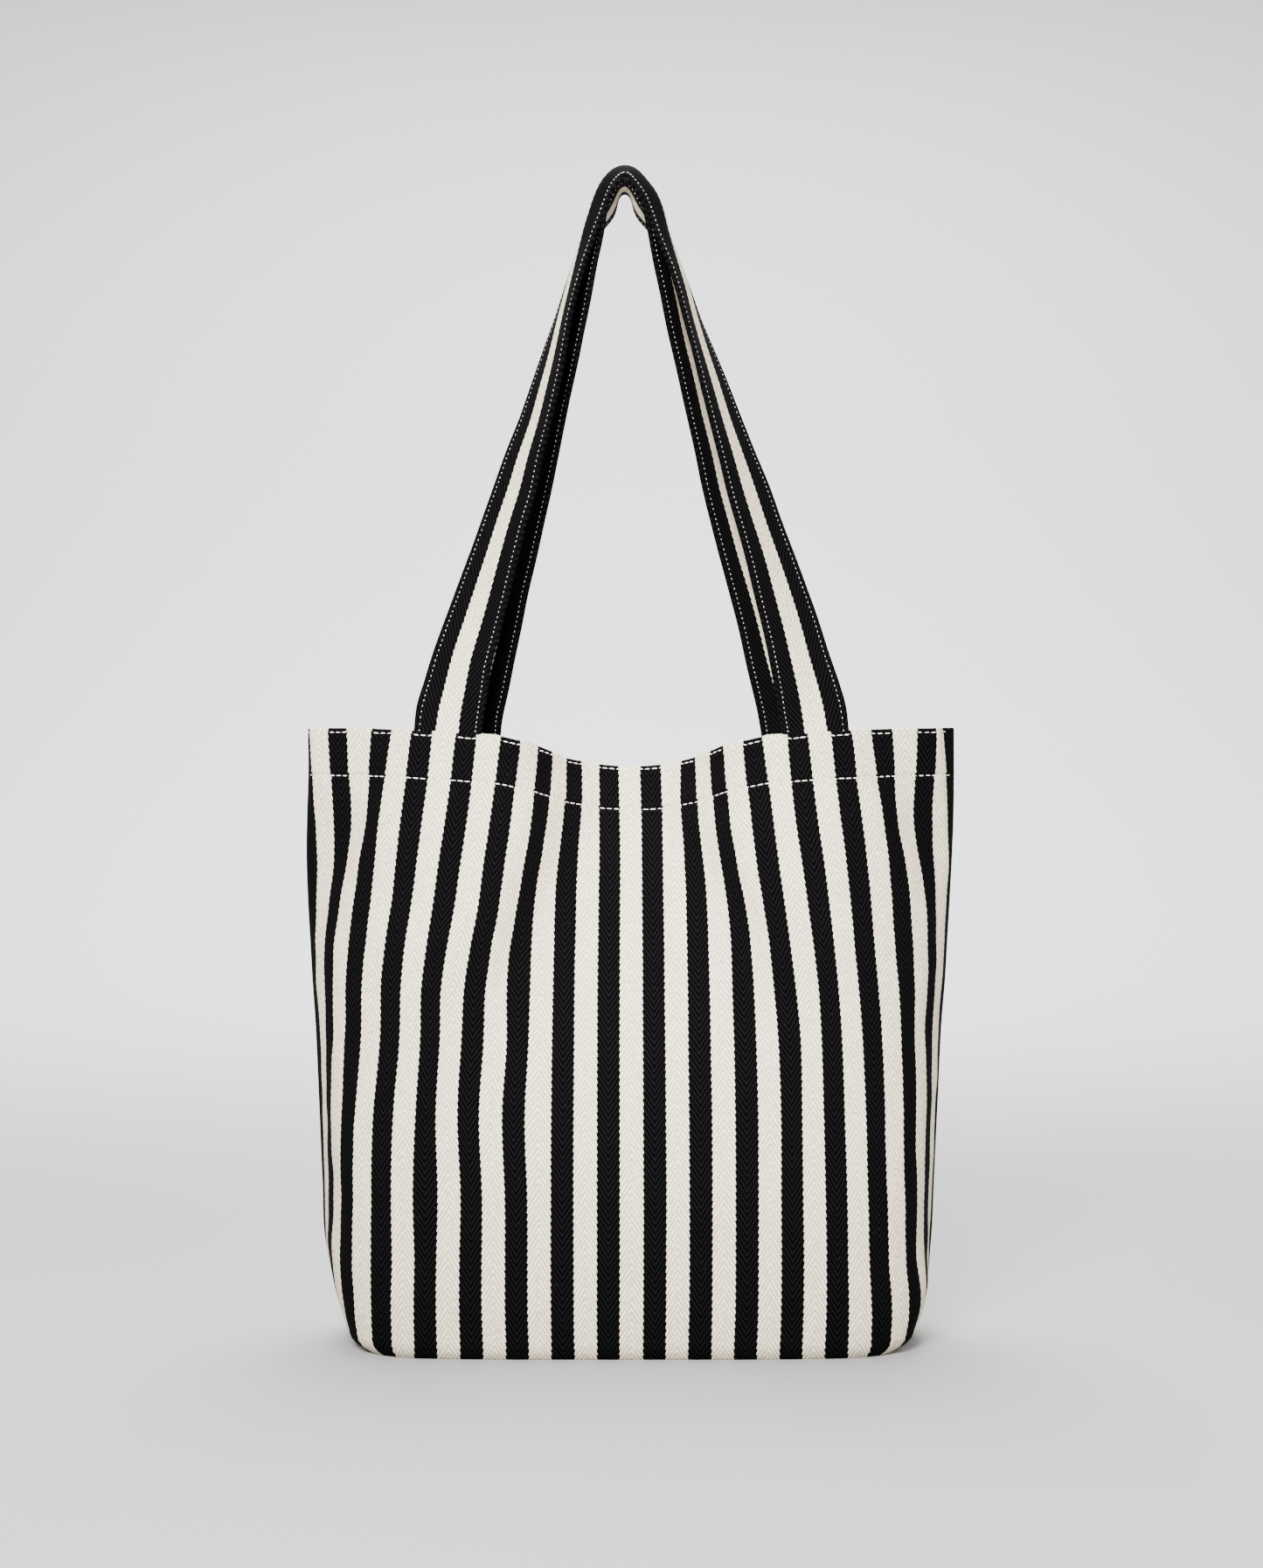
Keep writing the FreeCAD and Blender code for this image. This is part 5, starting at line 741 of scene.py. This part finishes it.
def strap_stitches(name, M, Nrm, l, tl, seed):
    Ps, Ds, Ns = [], [], []
    for q in (2.7, STRAP_W - 2.7):
        P, D, N = strap_row(M, Nrm, l, tl, q, seed)
        for sg in (1, -1):
            Ps.append(P + N * sg * STRAP_H * 0.80)
            Ds.append(D)
            Ns.append(N * sg)
    return stitches(name, np.concatenate(Ps), np.concatenate(Ds), np.concatenate(Ns), 1.15, 0.36, 0.30, seed)


fs_st = strap_stitches("front_strap_stitches", FM, FNRM, FL, FTL, 8)
bs_st = strap_stitches("back_strap_stitches", BM, BNRM, BL, BTL, 9)

# ------------------------------------------------------------------ frame: who stands for what
for ob in (front_ob, back_ob, f_rim, f_hem, b_rim, b_hem):
    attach(ob, "bag")
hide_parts("front_panel", "front_hem")
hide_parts("back_panel", "back_hem")
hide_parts("front_rim_stitching")
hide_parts("front_hem_stitching")
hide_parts("back_rim_stitching")
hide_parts("back_hem_stitching")
for ob, st, handle, y in ((fs_ob, fs_st, "front_handle", -0.020), (bs_ob, bs_st, "back_handle", 0.025)):
    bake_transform(ob)
    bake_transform(st)
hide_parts("front_strap", "front_strap_left_end", "front_strap_right_end")
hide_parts("back_strap", "back_strap_left_end", "back_strap_right_end")
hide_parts("front_strap_stitching")
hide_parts("back_strap_stitching")
for n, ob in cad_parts.items():
    if "binding" in n:
        ob.data.materials.clear()
        ob.data.materials.append(TAPE)

# ------------------------------------------------------------------ stage: floor, backdrop, light
def stage_sweep():
    ys = [-2.2, 1.2]
    prof = [(-3.0, 0.0), (1.6, 0.0)]
    for k in range(1, 13):
        a = math.pi / 2 * k / 12
        prof.append((1.6 + 0.9 * math.sin(a), 0.9 * (1 - math.cos(a))))
    prof.append((2.5, 4.0))
    V = [(x * 1000, y * 1000, z * 1000) for (y, z) in prof for x in (-4.0, 4.0)]
    faces = [(2 * i, 2 * i + 1, 2 * i + 3, 2 * i + 2) for i in range(len(prof) - 1)]
    n = Nodes("paper")
    c = n.t.nodes.new("ShaderNodeTexCoord").outputs["Object"]
    p = n.t.nodes.new("ShaderNodeSeparateXYZ")
    n.link(c, p.inputs[0])
    # painted light: the sweep is painted darker near the bag, where the lamps light it most, and lighter towards the
    # far wall, making up for the weaker light there
    far_painted_light = n.ramp(p.outputs[1], 0.3, 2.4)
    n.link(n.mix(far_painted_light, (0.36, 0.36, 0.36, 1), (0.90, 0.90, 0.90, 1)), n.bsdf.inputs["Base Color"])
    n.bsdf.inputs["Roughness"].default_value = 0.9
    n.bsdf.inputs["Specular IOR Level"].default_value = 0.1
    ob = make_mesh("studio_floor", V, faces, None, n.mat)
    return ob


stage_sweep()


def aim(target, loc):
    from mathutils import Vector
    return (Vector(target) - Vector(loc)).to_track_quat("-Z", "Y").to_euler()


def area_light(name, loc, size, power, target=(0, 0, 0.28), color=(1, 1, 1)):
    li = bpy.data.lights.new(name, "AREA")
    li.shape = "RECTANGLE"
    li.size, li.size_y = size
    li.energy = power
    li.color = color
    ob = bpy.data.objects.new(name, li)
    ob.location = loc
    ob.rotation_euler = aim(target, loc)
    bpy.context.scene.collection.objects.link(ob)
    return ob


area_light("key", (-0.28, -1.10, 0.88), (0.5, 0.5), 66, target=(0, 0, 1.10))
spot = bpy.data.lights.new("patch", "SPOT")
spot.energy = 230
spot.spot_size = math.radians(17)
spot.spot_blend = 1.0
spot.shadow_soft_size = 0.12
sob = bpy.data.objects.new("patch", spot)
sob.location = (-0.10, -1.60, 0.75)
sob.rotation_euler = aim((0, -0.06, 0.245), sob.location)
bpy.context.scene.collection.objects.link(sob)
area_light("fill", (1.6, -1.5, 1.1), (1.4, 1.4), 22)
area_light("top", (0, 0.90, 2.4), (1.5, 1.5), 195)
world = bpy.data.worlds.new("studio")
world.use_nodes = True
world.node_tree.nodes["Background"].inputs[0].default_value = (1, 1, 1, 1)
world.node_tree.nodes["Background"].inputs[1].default_value = 0.58
bpy.context.scene.world = world

cam = bpy.data.cameras.new("camera")
cam.lens = 51.65
cam.sensor_width = 36
cam.clip_start, cam.clip_end = 0.05, 20
cob = bpy.data.objects.new("camera", cam)
cob.location = (0, -1.300, 0.3192)
cob.rotation_euler = (math.pi / 2, 0, 0)
bpy.context.scene.collection.objects.link(cob)
bpy.context.scene.camera = cob
